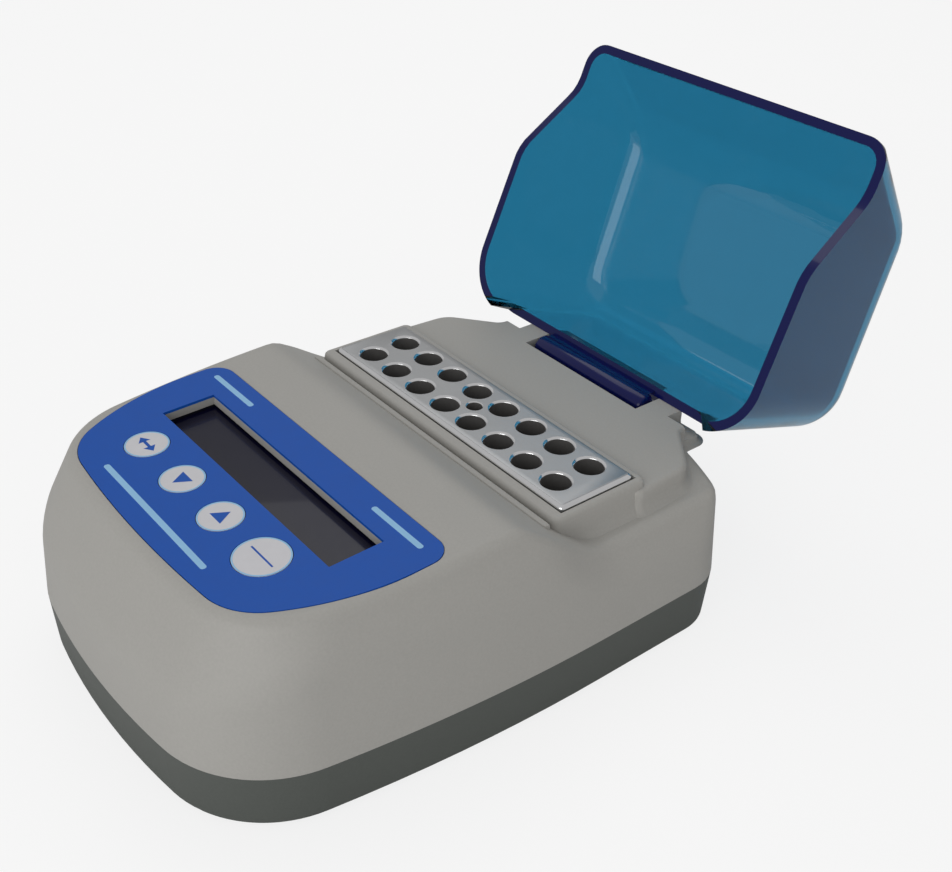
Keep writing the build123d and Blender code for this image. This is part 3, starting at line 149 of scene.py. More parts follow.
class Shader:
    """Node tree of one finish."""

    def __init__(self, name):
        self.material = bpy.data.materials.new(name)
        self.material.use_nodes = True
        self.tree = self.material.node_tree
        self.tree.nodes.clear()
        self.end = self.tree.nodes.new("ShaderNodeOutputMaterial")

    def node(self, kind, settings=None, sockets=None, output=0):
        """Add a node: its settings first, then values or links for its sockets."""
        made = self.tree.nodes.new(kind)
        for key, value in (settings or {}).items():
            if key == "stops":
                ramp = made.color_ramp
                while len(ramp.elements) < len(value):
                    ramp.elements.new(0.5)
                for element, (position, shade) in zip(ramp.elements, value):
                    element.position = position
                    element.color = (*shade, 1.0) if len(shade) == 3 else shade
            else:
                setattr(made, key, value)
        for key, value in (sockets or {}).items():
            target = made.inputs[key]
            if isinstance(value, Socket):
                self.tree.links.new(value.output, target)
            elif target.type == "RGBA" and len(value) == 3:
                target.default_value = (*value, 1.0)
            else:
                target.default_value = value
        return Socket(self, made.outputs[output])

    def where(self):
        """Place on the piece, in metres."""
        return self.node("ShaderNodeTexCoord", output="Object")

    def grain(self, size, detail=2.0, vector=None):
        """Noise with grains of a size in millimetres, about half on average."""
        sockets = {"Vector": vector or self.where(), "Scale": 1000.0 / size, "Detail": detail}
        return self.node("ShaderNodeTexNoise", {}, sockets, "Fac")

    def blend(self, factor, first, second):
        """Colour between two others."""
        return self.node("ShaderNodeMix", {"data_type": "RGBA"}, {0: factor, 6: first, 7: second}, 2)

    def ramp(self, factor, *stops):
        """Grey or colour that follows a value between stops."""
        return self.node("ShaderNodeValToRGB", {"stops": stops}, {"Fac": factor}, "Color")

    def bump(self, height, depth, strength=1.0):
        """Normal of a relief with a depth in millimetres."""
        return self.node("ShaderNodeBump", {}, {"Height": height, "Distance": depth / 1000.0,
                                                "Strength": strength})

    def surface(self, **sockets):
        """Plain surface that ends the tree."""
        named = {key.replace("_", " "): value for key, value in sockets.items()}
        skin = self.node("ShaderNodeBsdfPrincipled", {}, named)
        self.tree.links.new(skin.output, self.end.inputs["Surface"])
        return self.material


def shade(value, amount):
    """Colour made lighter or darker by a factor."""
    return tuple(min(1.0, part * amount) for part in value)


def moulded(name, tint, grain=0.5, speckle=0.06, depth=0.012, roughness=0.5):
    """Fine-textured moulded plastic with faint speckle and cloudiness."""
    shader = Shader(name)
    fine = shader.grain(grain, 3.0)
    cloud = shader.grain(22.0, 2.0)
    tone = shader.blend(cloud, shade(tint, 0.95), shade(tint, 1.05))
    fleck = shader.ramp(fine, (0.30, (0.0,) * 3), (0.72, (1.0,) * 3))
    body = shader.blend(fleck, shade(tint, 1.0 - speckle), shade(tint, 1.0 + speckle))
    both = shader.blend(0.5, tone, body)
    normal = shader.bump(shader.grain(grain * 0.7, 2.0), depth)
    return shader.surface(Base_Color=both, Roughness=roughness + 0.12 * (fine - 0.5), Normal=normal,
                          Specular_IOR_Level=0.3)


def metal(name, tint, roughness, grain=0.25, depth=0.004):
    """Bead-blasted or plated metal."""
    shader = Shader(name)
    fine = shader.grain(grain, 3.0)
    cloud = shader.grain(9.0, 2.0)
    tone = shader.blend(cloud, shade(tint, 0.93), shade(tint, 1.06))
    return shader.surface(Base_Color=tone, Metallic=1.0, Roughness=roughness + 0.14 * (fine - 0.5),
                          Normal=shader.bump(fine, depth))


def smooth_plastic(name, tint, roughness=0.35, coat=0.0, depth=0.003):
    """Smooth plastic, print or film with a hint of orange peel."""
    shader = Shader(name)
    wave = shader.grain(2.4, 1.0)
    tone = shader.blend(wave, shade(tint, 0.96), shade(tint, 1.04))
    return shader.surface(Base_Color=tone, Roughness=roughness + 0.08 * (wave - 0.5), Coat_Weight=coat,
                          Specular_IOR_Level=0.18, Normal=shader.bump(wave, depth))


def clear_lid(name, tint):
    """Tinted clear plastic with a faint haze."""
    shader = Shader(name)
    haze = shader.grain(6.0, 3.0)
    tone = shader.blend(haze, shade(tint, 0.97), shade(tint, 1.03))
    return shader.surface(Base_Color=tone, Roughness=0.02 + 0.05 * haze, IOR=1.49, Transmission_Weight=1.0)


def dress(material, *nodes):
    """Give CAD nodes one finish."""
    for node in nodes:
        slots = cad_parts[node].data.materials
        slots.clear()
        slots.append(material)


# Forms worked out as fields
def rounded_max(first, second, radius):
    """The larger of two distances, with the corner between them rounded."""
    both = (first > -radius) & (second > -radius)
    soft = np.hypot(np.maximum(first + radius, 0.0), np.maximum(second + radius, 0.0)) - radius
    return np.where(both, soft, np.maximum(first, second))


def rounded_min(first, second, radius):
    """The smaller of two distances, with the hollow between them rounded."""
    return -rounded_max(-first, -second, radius)


def tan(angle):
    """Tangent of an angle in degrees."""
    return math.tan(math.radians(angle))


def cos(angle):
    """Cosine of an angle in degrees."""
    return math.cos(math.radians(angle))


class Plan:
    """Plan with a bowed front, long side arcs and rounded corners. A rear radius of None leaves it open."""

    def __init__(self, half_width, side_y, side_radius, front_y, front_radius, corner_radius,
                 rear_y=80.0, rear_radius=None, rear_corner=0.0):
        side = np.array((half_width - side_radius, side_y))
        bow = np.array((0.0, front_y + front_radius))
        corner = self.crossing(side, side_radius - corner_radius, bow, front_radius - corner_radius)
        self.half_width = half_width
        self.arcs = [(bow, front_radius, (0.0, -1.0), corner - bow),
                     (corner, corner_radius, corner - bow, corner - side),
                     (side, side_radius, corner - side, (1.0, 0.0))]
        self.straight = (side_y, rear_y)
        if rear_radius is not None:
            reach = rear_radius - rear_corner
            back = np.array((0.0, rear_y - rear_radius))
            rear_x = half_width - rear_corner
            rear = np.array((rear_x, back[1] + math.sqrt(reach**2 - rear_x**2)))
            self.straight = (side_y, rear[1])
            self.arcs += [(rear, rear_corner, (1.0, 0.0), rear - back),
                          (back, rear_radius, rear - back, (0.0, 1.0))]

    @staticmethod
    def crossing(first, first_radius, second, second_radius):
        """Front crossing of two circles."""
        gap = second - first
        span = math.hypot(*gap)
        along = (first_radius**2 - second_radius**2 + span**2) / (2.0 * span)
        across = math.sqrt(first_radius**2 - along**2)
        unit = gap / span
        return first + along * unit + across * np.array((unit[1], -unit[0]))

    def distance(self, x, y):
        """Distance from the plan's edge, negative inside."""
        x = np.abs(x)
        found = np.full(np.shape(x), -40.0)
        for centre, radius, start, end in self.arcs:
            dx, dy = x - centre[0], y - centre[1]
            within = (start[0] * dy - start[1] * dx >= -1e-9) & (dx * end[1] - dy * end[0] >= -1e-9)
            found = np.where(within, np.maximum(found, np.hypot(dx, dy) - radius), found)
        within = (y >= self.straight[0]) & (y <= self.straight[1])
        return np.where(within, np.maximum(found, x - self.half_width), found)

    def outline(self, step, grow=0.0):
        """Points along the edge from the middle of the front, round the right side and back."""
        half = []
        for centre, radius, start, end in self.arcs:
            first, last = math.atan2(start[1], start[0]), math.atan2(end[1], end[0])
            count = max(3, round(radius * (last - first) / step))
            angles = np.linspace(first, last, count + 1)
            arc = centre + (radius + grow) * np.stack((np.cos(angles), np.sin(angles)), 1)
            if half and np.hypot(*(arc[0] - half[-1])) > step:
                gap = max(2, round(np.hypot(*(arc[0] - half[-1])) / step))
                half += [half[-1] + (arc[0] - half[-1]) * share / gap for share in range(1, gap)]
            half += list(arc[1:] if half and np.hypot(*(arc[0] - half[-1])) < 1e-6 else arc)
        right = np.array(half)
        left = right[::-1] * (-1.0, 1.0)
        return np.concatenate((right, left[1:-1]))


REAR_Y, REAR_RADIUS = 41.0, 105.0
CASE_PLAN = Plan(50.5, -5.0, 400.0, -90.7, 170.0, 25.0, REAR_Y, REAR_RADIUS, 12.5)
SEAM_Z, CASE_DRAFT = 14.0, 4.5
HUMP_LEAN, HUMP_Z, RIDGE_X = 26.565, 44.0, 46.0
SHOULDER_Z, DECK_Z, COLLAR_Z, BLOCK_TOP_Z = 33.4, 38.5, 40.1, 41.0
SLOPE_Y, SLOPE_ANGLE = -6.25, 34.0
PANEL_Z, PANEL_TILT = 45.15, 1.5
PANEL_REAR_Y = SLOPE_Y - (PANEL_Z - SHOULDER_Z) / tan(SLOPE_ANGLE)
RIDGE_MEETING_Z = HUMP_Z - (RIDGE_X - 44.5) / tan(HUMP_LEAN)
HUMP_SIDE_Y = SLOPE_Y - (RIDGE_MEETING_Z - SHOULDER_Z) / tan(SLOPE_ANGLE)
HUMP_PLAN = Plan(44.5, HUMP_SIDE_Y, 300.0, -81.2, 220.0, 20.0)
OVERLAY = dict(half_width=41.4, side_y=-46.0, side_radius=52.0, front_y=-79.2, front_radius=260.0,
               corner_radius=13.0, rear_y=-37.8, rear_corner=4.5)


def panel_z(y):
    """Height of the key panel's surface."""
    return PANEL_Z - (PANEL_REAR_Y - y) * tan(PANEL_TILT)


WINDOW_X, WINDOW_FRONT_Y, WINDOW_REAR_Y = 31.15, -57.4, -45.7
KEY_Y = -65.1
KEYS = {"key_return": (-22.8, 4.45), "key_down": (-8.0, 4.45), "key_up": (6.8, 4.45), "key_run": (21.5, 5.43)}

# Left end, right end and middle line of each printed bar
BARS = ((-37.7, -22.3, -41.55), (21.7, 36.9, -41.55), (-21.1, 18.3, -74.6))
CUTTER_FOOT_Z, CUTTER_TOP_Z = 20.0, 46.0
OPENING_X, OPENING_Y = 39.3, 10.1
HINGE_Y, HINGE_Z, LID_SWING = 35.2, 36.65, 112.2
LID_FRONT_Y, LID_REAR_Y, LID_HALF_WIDTH, LID_TAPER = -35.8, 32.7, 45.1, 0.9
LID_BEND_Z, LID_TOP_Z, LID_DRAFT, LID_LEAN, LID_TOP_FALL = 45.6, 75.35, 2.5, 32.3, 4.5
LID_SEAT_GAP, NECK_Z, NECK_X, NECK_Y = 0.3, 38.8, 34.8, 20.0
LID_SPINE, LID_BASE_Z = (-22.0, 20.0), 26.0
CASE_SPINE = (-52.0, 8.0)
WELL_PITCH, WELL_RADIUS, WELL_RIM, WELL_COUNT = 9.0, 3.065, 3.5, 8
PRINT_LOW, PRINT_HIGH, RING_HIGH = 0.09, 0.125, 0.13
FITTING_Z, SEAT_DEPTH = 23.6, 0.7
RAY_REACH, RAY_HALVINGS = 140.0, 30

# Angle round the rear wall, then the half sizes of the seat and of the body behind it
SWITCH_SEAT = (8.5, (10.65, 7.65), (9.45, 6.45))
INLET_SEAT = (-13.5, (5.65, 5.65), (4.15, 4.15))


def overlay_outline(grow):
    """Outline of the panel film, moved out by an even amount."""
    size = OVERLAY
    plan = Plan(size["half_width"], size["side_y"], size["side_radius"], size["front_y"],
                size["front_radius"], size["corner_radius"])
    points = plan.outline(1.2, grow)
    points = points[(points[:, 1] < size["rear_y"] - size["rear_corner"] + 1e-6)]
    right, left = points[points[:, 0] >= 0.0], points[points[:, 0] < 0.0]
    turns = np.linspace(0.0, math.pi / 2.0, 10)
    middle = np.array((size["half_width"] - size["rear_corner"], size["rear_y"] - size["rear_corner"]))
    corner = middle + (size["rear_corner"] + grow) * np.column_stack((np.cos(turns), np.sin(turns)))
    return np.concatenate((right, corner, corner[::-1] * (-1.0, 1.0), left))


def panel_hole(outline):
    """Cutter square through the key panel."""
    return prism(outline, lambda y: panel_z(y) - 4.4, lambda y: panel_z(y) + 6.5)


def rear_cutters():
    """Cutters for the seats of the switch and the inlet in the rear wall."""
    cutters = []
    radius = REAR_RADIUS - (FITTING_Z - SEAM_Z) * tan(CASE_DRAFT)
    middle = Matrix.Translation((0.0, REAR_Y - REAR_RADIUS, FITTING_Z))
    lean = Matrix.Rotation(math.radians(CASE_DRAFT - 90.0), 4, "X")
    outwards = Matrix.Translation((0.0, radius, 0.0)) @ lean
    for angle, seat, body in (SWITCH_SEAT, INLET_SEAT):
        turn = middle @ Matrix.Rotation(math.radians(-angle), 4, "Z") @ outwards
        for (x, y), low, high in ((seat, -SEAT_DEPTH, 5.0), (body, -9.0, 0.1 - SEAT_DEPTH)):
            outline = rectangle(-x, x, -y, y) if angle > 0 else circle(0.0, 0.0, x)
            points, faces = prism(outline, low, high)
            cutters.append((np.array([turn @ Vector(point) for point in points]), faces))
    return cutters


def block_opening():
    """Cutter for the opening round the well block."""
    outline = rectangle(-OPENING_X, OPENING_X, -OPENING_Y, OPENING_Y)
    return prism(outline, CUTTER_FOOT_Z, CUTTER_TOP_Z)


def swung(y, z, angle):
    """Depth and height (y, z) of a place turned about the hinge pin by an angle in degrees."""
    turn = math.radians(angle)
    y, z = y - HINGE_Y, z - HINGE_Z
    return (HINGE_Y + y * math.cos(turn) - z * math.sin(turn),
            HINGE_Z + y * math.sin(turn) + z * math.cos(turn))


def top_field(y, z, beyond=0.0):
    """Distance above the shoulder, slope and panel, or above their leaning continuation at the sides."""
    fall = beyond / tan(HUMP_LEAN)
    steep = (1.0 / tan(HUMP_LEAN))**2 * (np.max(beyond) > 0.0)
    shoulder = (z - SHOULDER_Z + fall) / math.sqrt(1.0 + steep)
    slope = (z - SHOULDER_Z - (SLOPE_Y - y) * tan(SLOPE_ANGLE) + fall) / math.sqrt(
        1.0 + steep + tan(SLOPE_ANGLE)**2)
    panel = (z - panel_z(y) + fall) / math.sqrt(1.0 + steep + tan(PANEL_TILT)**2)
    return rounded_min(shoulder, rounded_max(slope, panel, 1.2), 1.7)


def case_field(x, y, z):
    """Distance from the upper case's outer skin, negative inside."""
    low = (CASE_PLAN.distance(x, y) + (z - SEAM_Z) * tan(CASE_DRAFT)) * cos(CASE_DRAFT)
    hump = (HUMP_PLAN.distance(x, y) + (z - HUMP_Z) * tan(HUMP_LEAN)) * cos(HUMP_LEAN)
    ridge = top_field(y, z, np.abs(x) - RIDGE_X)
    wall = rounded_max(low, rounded_max(hump, ridge, 1.0), 1.1)
    return rounded_max(wall, top_field(y, z), 1.6)


def lid_field(x, y, z):
    """Distance from the closed lid's outer skin, negative inside."""
    draft = (z - SHOULDER_Z) * tan(LID_DRAFT)
    narrowing = (LID_REAR_Y - y) * LID_TAPER / (LID_REAR_Y - LID_FRONT_Y)
    side = np.abs(x) - LID_HALF_WIDTH + narrowing + draft
    rear = y - LID_REAR_Y + draft
    low_front = LID_FRONT_Y - y + draft
    lean = (LID_FRONT_Y + (z - LID_BEND_Z) * tan(LID_LEAN) - y) * cos(LID_LEAN)
    top = (z - LID_TOP_Z + (LID_REAR_Y - y) * tan(LID_TOP_FALL)) * cos(LID_TOP_FALL)
    front = rounded_max(low_front, lean, 1.2)
    wall = rounded_max(rounded_max(side, rear, 13.0), front, 6.0)
    return rounded_max(wall, top, 8.0)


def cast(field, anchors, headings, angles, offset):
    """Where rays from the anchors, at angles above level, meet a skin set in by an offset."""
    near = np.zeros(angles.shape)
    far = np.full(angles.shape, RAY_REACH)
    rise, run = np.sin(angles), np.cos(angles)
    for _ in range(RAY_HALVINGS):
        middle = (near + far) / 2.0
        spots = anchors[:, None, :] + middle[..., None] * np.stack(
            (headings[:, :1] * run, headings[:, 1:] * run, rise), -1)
        inside = field(spots[..., 0], spots[..., 1], spots[..., 2]) < -offset
        near, far = np.where(inside, middle, near), np.where(inside, far, middle)
    return anchors[:, None, :] + near[..., None] * np.stack(
        (headings[:, :1] * run, headings[:, 1:] * run, rise), -1)


def spread(points, angles, starts, levels, care):
    """Angles that follow each column's bends, from its start to straight up."""
    steps = np.diff(points, axis=1)
    lengths = np.linalg.norm(steps, axis=2) + 1e-9
    units = steps / lengths[..., None]
    turns = np.zeros(lengths.shape)
    turns[:, 1:] = np.arccos(np.clip((units[:, 1:] * units[:, :-1]).sum(2), -1.0, 1.0))
    weights = lengths / lengths.sum(1, keepdims=True) + care * turns / np.maximum(
        turns.sum(1, keepdims=True), 1e-6)
    found = np.empty((len(points), levels))
    for column in range(len(points)):
        total = np.concatenate(((0.0,), np.cumsum(weights[column])))
        first = np.interp(starts[column], angles, total)
        found[column] = np.interp(np.linspace(first, total[-1], levels), total, angles)
    return found


def columns(plan_points, spine, base_z):
    """Anchors on the spine below the form, and the heading of each plan point from its anchor."""
    anchors = np.stack((np.zeros(len(plan_points)), np.clip(plan_points[:, 1], *spine),
                        np.full(len(plan_points), base_z)), 1)
    headings = plan_points - anchors[:, :2]
    return anchors, headings / np.linalg.norm(headings, axis=1, keepdims=True)


def skin(field, plan_points, spine, base_z, offset, levels, rim=None, care=1.2):
    """Grid of points up each column of a form, from its foot or rim to the middle of its top."""
    anchors, headings = columns(plan_points, spine, base_z)
    angles = np.linspace(-0.2 if rim else 0.0, math.pi / 2.0, 420)
    dense = cast(field, anchors, headings, np.tile(angles, (len(anchors), 1)), offset)
    starts = np.zeros(len(anchors))
    if rim:
        above = rim(dense[..., 0], dense[..., 1], dense[..., 2])
        first = np.argmax(above > 0.0, axis=1)
        rows = np.arange(len(first))
        low, high = above[rows, first - 1], above[rows, first]
        starts = angles[first - 1] + (angles[first] - angles[first - 1]) * (-low / (high - low))
    picked = spread(dense, angles, starts, levels, care)
    return cast(field, anchors, headings, picked, offset)


# Meshes
def loft(rings, capped=True, closed=False):
    """Points and faces of a skin over rings of equal length."""
    count = len(rings[0])
    faces = []
    for ring in range(len(rings) if closed else len(rings) - 1):
        low, high = ring * count, (ring + 1) % len(rings) * count
        faces += [(low + i, low + (i + 1) % count, high + (i + 1) % count, high + i) for i in range(count)]
    if capped and not closed:
        faces.append(tuple(range(count))[::-1])
        faces.append(tuple(range((len(rings) - 1) * count, len(rings) * count)))
    return np.concatenate(rings), faces


def ring(outline, height):
    """Closed ring of points at a height, or at heights that follow y."""
    outline = np.asarray(outline, float)
    z = height(outline[:, 1]) if callable(height) else np.full(len(outline), float(height))
    return np.column_stack((outline, z))


def prism(outline, low, high):
    """Closed prism over an outline."""
    return loft([ring(outline, low), ring(outline, high)])


def circle(x, y, radius, count=48):
    """Points round a circle."""
    angles = np.linspace(0.0, 2.0 * math.pi, count, endpoint=False)
    return np.column_stack((x + radius * np.cos(angles), y + radius * np.sin(angles)))


def rectangle(x_low, x_high, y_low, y_high):
    """Corners of a rectangle."""
    return np.array(((x_low, y_low), (x_high, y_low), (x_high, y_high), (x_low, y_high)))


def rounded(corners, grow=0.0, step=6.0):
    """Outline through corners (x, y, radius), moved out by an even amount; hollow corners have radius < 0."""
    points = []
    for index, (x, y, radius) in enumerate(corners):
        here = np.array((x, y))
        back = np.array(corners[index - 1][:2]) - here
        ahead = np.array(corners[(index + 1) % len(corners)][:2]) - here
        back, ahead = back / np.hypot(*back), ahead / np.hypot(*ahead)
        half = math.acos(np.clip(back @ ahead, -1.0, 1.0)) / 2.0
        sign = 1.0 if radius > 0 else -1.0
        middle = (back + ahead) / np.hypot(*(back + ahead))
        centre = here + middle * abs(radius) / math.sin(half)
        size = abs(radius) + sign * grow
        sweep = math.pi / 2.0 - half
        bearing = math.atan2(-middle[1], -middle[0])
        count = max(4, math.ceil(math.degrees(2.0 * sweep) / step))
        angles = bearing + sign * np.linspace(-sweep, sweep, count + 1)
        points += [centre + size * np.array((math.cos(a), math.sin(a))) for a in angles]
    return np.array(points)


def joined(parts):
    """One run of points and faces from several."""
    points, faces, start = [], [], 0
    for part_points, part_faces in parts:
        points.append(np.asarray(part_points))
        faces += [tuple(i + start for i in face) for face in part_faces]
        start += len(part_points)
    return np.concatenate(points), faces


def raw_object(name, form):
    """Object from points in millimetres, with doubles merged and its faces turned outwards."""
    points, faces = form
    mesh = bpy.data.meshes.new(name)
    mesh.from_pydata([place(*point) for point in points], [], faces)
    shape = bmesh.new()
    shape.from_mesh(mesh)
    bmesh.ops.remove_doubles(shape, verts=shape.verts, dist=2e-6)
    bmesh.ops.recalc_face_normals(shape, faces=shape.faces)
    shape.to_mesh(mesh)
    shape.free()
    made = bpy.data.objects.new(name, mesh)
    bpy.context.scene.collection.objects.link(made)
    return made


def cut(piece, cutters):
    """Take closed forms away from a piece."""
    tool = raw_object(piece.name + "_cutter", joined(cutters))
    modifier = piece.modifiers.new("cut", "BOOLEAN")
    modifier.operation = "DIFFERENCE"
    modifier.solver = "EXACT"
    modifier.object = tool
    graph = bpy.context.evaluated_depsgraph_get()
    mesh = bpy.data.meshes.new_from_object(piece.evaluated_get(graph))
    piece.modifiers.clear()
    piece.data = mesh
    bpy.data.objects.remove(tool)
    if not mesh.polygons:
        raise RuntimeError(piece.name + " was lost in its cut")


def finish_piece(piece, body, slot, *materials, replaces=(), sharp=30.0):
    """Give a piece its finish, its shading and its body, and hide the nodes that it stands for."""
    for material in materials:
        piece.data.materials.append(material)
    piece.data.polygons.foreach_set("use_smooth", [True] * len(piece.data.polygons))
    piece.data.set_sharp_from_angle(angle=math.radians(sharp))
    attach(piece, body)
    if replaces:
        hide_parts(*replaces)
    return piece


# Operators
class DRYBATH_OT_case(bpy.types.Operator):
    """Shape and finish the two case mouldings and finish what holds them"""

    bl_idname = "dry_bath.case"
    bl_label = "Case"

    def execute(self, context):
        finish = context.scene.dry_bath_finish
        shell = moulded("shell_plastic", finish.shell)
        self.upper_case(shell, context.scene.dry_bath_sizes)
        self.deck(shell)
        dress(moulded("base_plastic", finish.base, speckle=0.10), "base_shell")
        dress(moulded("foot_rubber", (0.02, 0.02, 0.02), roughness=0.8), "rubber_feet")
        dress(metal("plated_steel", (0.5, 0.5, 0.5), 0.3), "case_screws", "block_screws", "tray_screws",
              "key_board_screws", "main_board_screws", "hinge_pin", "inlet_nut")
        return {"FINISHED"}

    def upper_case(self, shell, sizes):
        """Hollow moulding from the seam to the panel, with its openings."""
        plan = CASE_PLAN.outline(1.7)
        outer = skin(case_field, plan, CASE_SPINE, SEAM_Z, 0.0, 76)
        inner = skin(case_field, plan, CASE_SPINE, SEAM_Z, millimetres(sizes.case_wall), 40)
        rings = [inner[:, level] for level in range(inner.shape[1] - 1, -1, -1)]
        rings += [outer[:, level] for level in range(outer.shape[1])]
        piece = raw_object("upper_case", loft(rings, capped=False))
        gap, depth = millimetres(sizes.key_gap), millimetres(sizes.film_recess)
        cut(piece, [prism(overlay_outline(gap), lambda y: panel_z(y) - depth, lambda y: panel_z(y) + 6.0)])
        window = rectangle(-WINDOW_X, WINDOW_X, WINDOW_FRONT_Y, WINDOW_REAR_Y)
        cut(piece, [panel_hole(window), block_opening(),
                    *(panel_hole(circle(x, KEY_Y, radius + gap, 64)) for x, radius in KEYS.values()),
                    *rear_cutters()])
        finish_piece(piece, "case", "shell_plastic", shell, replaces=["upper_shell"])

    def deck(self, shell):
        """Raised deck with its hinge slot, the collar round the block and the bead before it."""
        steps = [(1.9, 33.35), (1.1, 33.65), (0.55, 34.1), (0.2, 34.8), (0.0, 35.8), (0.0, 37.5),
                 (-0.12, 38.0), (-0.42, 38.32), (-0.85, 38.48), (-1.3, 38.5)]
        deck = [(42.2, 8.0, 2.0), (41.2, 23.6, 6.5), (30.4, 32.6, -3.0), (30.4, 38.9, 1.6),
                (-30.4, 38.9, 1.6), (-30.4, 32.6, -3.0), (-41.2, 23.6, 6.5), (-42.2, 8.0, 2.0)]
        form = loft([ring(rounded(deck, grow), height) for grow, height in steps])
        piece = raw_object("rear_deck", form)
        cut(piece, [prism(rectangle(-18.6, 18.6, 30.7, 46.0), 33.6, CUTTER_TOP_Z), block_opening(),
                    prism(rectangle(25.0, 46.0, 34.2, 46.0), 35.0, CUTTER_TOP_Z),
                    prism(rectangle(-46.0, -25.0, 34.2, 46.0), 35.0, CUTTER_TOP_Z)])
        finish_piece(piece, "case", "shell_plastic", shell)
        collar = [(-40.9, -12.7, 1.8), (40.9, -12.7, 1.8), (40.9, 11.9, 1.8), (-40.9, 11.9, 1.8)]
        steps = [(2.3, 33.3), (1.5, 33.7), (0.9, 34.3), (0.5, 35.2), (0.3, 36.5), (0.15, 38.0), (0.0, 39.1),
                 (-0.12, 39.6), (-0.42, 39.93), (-0.85, 40.08), (-1.3, 40.1)]
        piece = raw_object("block_collar", loft([ring(rounded(collar, grow), height)
                                                 for grow, height in steps]))
        cut(piece, [block_opening()])
        finish_piece(piece, "case", "shell_plastic", shell)
        bead = [(-40.6, -15.3, 0.9), (40.6, -15.3, 0.9), (40.6, -13.5, 0.85), (-40.6, -13.5, 0.85)]
        steps = [(0.35, 36.4), (0.1, 38.6), (0.0, 39.1), (-0.1, 39.4), (-0.3, 39.62), (-0.6, 39.7)]
        piece = raw_object("collar_bead", loft([ring(rounded(bead, grow, 15.0), height)
                                                for grow, height in steps]))
        finish_piece(piece, "case", "shell_plastic", shell)


class DRYBATH_OT_block(bpy.types.Operator):
    """Shape and finish the well block and finish the parts of its heater"""

    bl_idname = "dry_bath.block"
    bl_label = "Well block"

    def execute(self, context):
        finish = context.scene.dry_bath_finish
        self.block(finish)
        dress(metal("sink_aluminium", finish.block, 0.34), "heat_sink")
        dress(moulded("heater_silicone", (0.34, 0.05, 0.02), roughness=0.6), "heater_pad")
        dress(metal("clamp_steel", (0.45, 0.45, 0.46), 0.35), "clamp_plate", "temperature_sensor")
        dress(moulded("tray_plastic", (0.55, 0.52, 0.44)), "insulation_tray")
        return {"FINISHED"}

    def block(self, finish):
        """Chamfered bar with two rows of tapered wells, lighter rims as polish and painted highlight, darker
        well walls as painted shade.
        """
        top = BLOCK_TOP_Z
        corners = [(-39.0, -9.8, 1.2), (39.0, -9.8, 1.2), (39.0, 9.8, 1.2), (-39.0, 9.8, 1.2)]
        steps = [(0.0, 19.0), (0.0, top - 0.8), (-0.1, top - 0.55), (-0.7, top - 0.06), (-0.9, top)]
        piece = raw_object("well_block", loft([ring(rounded(corners, grow), height)
                                               for grow, height in steps]))
        wells = [(WELL_PITCH / 2.0 * side, WELL_PITCH * (column - (WELL_COUNT - 1) / 2.0))
                 for side in (-1, 1) for column in range(WELL_COUNT)]
        holes = []
        for y, x in wells:
            profile = [(1.3, top - 16.0), (WELL_RADIUS, top - 9.0), (WELL_RADIUS, top - 0.42),
                       (3.14, top - 0.3), (3.42, top - 0.03), (WELL_RIM, top + 0.02), (WELL_RIM, top + 2.0)]
            holes.append(loft([ring(circle(x, y, radius, 56), height) for radius, height in profile]))
        profile = [(1.75, top - 15.0), (1.75, top - 0.2), (1.95, top + 0.01), (1.95, top + 2.0)]
        holes.append(loft([ring(circle(0.0, 0.0, radius, 40), height) for radius, height in profile]))
        cut(piece, holes)
        satin = metal("block_aluminium", finish.block, 0.42)
        # Lighter, smoother metal on the rims and the top chamfer: partly polish, partly a painted highlight
        polish_and_highlight = metal("rim_aluminium", (0.9, 0.9, 0.91), 0.2, depth=0.001)
        # Darker colour on the walls inside the wells: painted shade
        painted_well_shade = moulded("bore_aluminium", (0.16, 0.155, 0.15), roughness=0.35)
        painted_well_shade.node_tree.nodes["Principled BSDF"].inputs["Metallic"].default_value = 0.35
        finish_piece(piece, "case", "block_aluminium", satin, polish_and_highlight, painted_well_shade, replaces=["heating_block"])
        # Rims and the top chamfer take the lighter metal with its painted highlight; the walls inside the
        # wells take the painted shade
        for face in piece.data.polygons:
            x, y = face.center.x * 1000.0, face.center.y * 1000.0 - BLOCK_Y
            z = face.center.z * 1000.0
            near = min(math.hypot(x - well_x, y - well_y) for well_y, well_x in wells + [(0.0, 0.0)])
            if near < WELL_RIM + 0.02 and abs(face.normal.z) < 0.95 and z > top - 0.44:
                face.material_index = 1
            elif near < 3.2 and z < top - 0.1:
                face.material_index = 2
            elif z > top - 0.82 and abs(face.normal.z) < 0.9 and abs(face.normal.z) > 0.3:
                face.material_index = 1


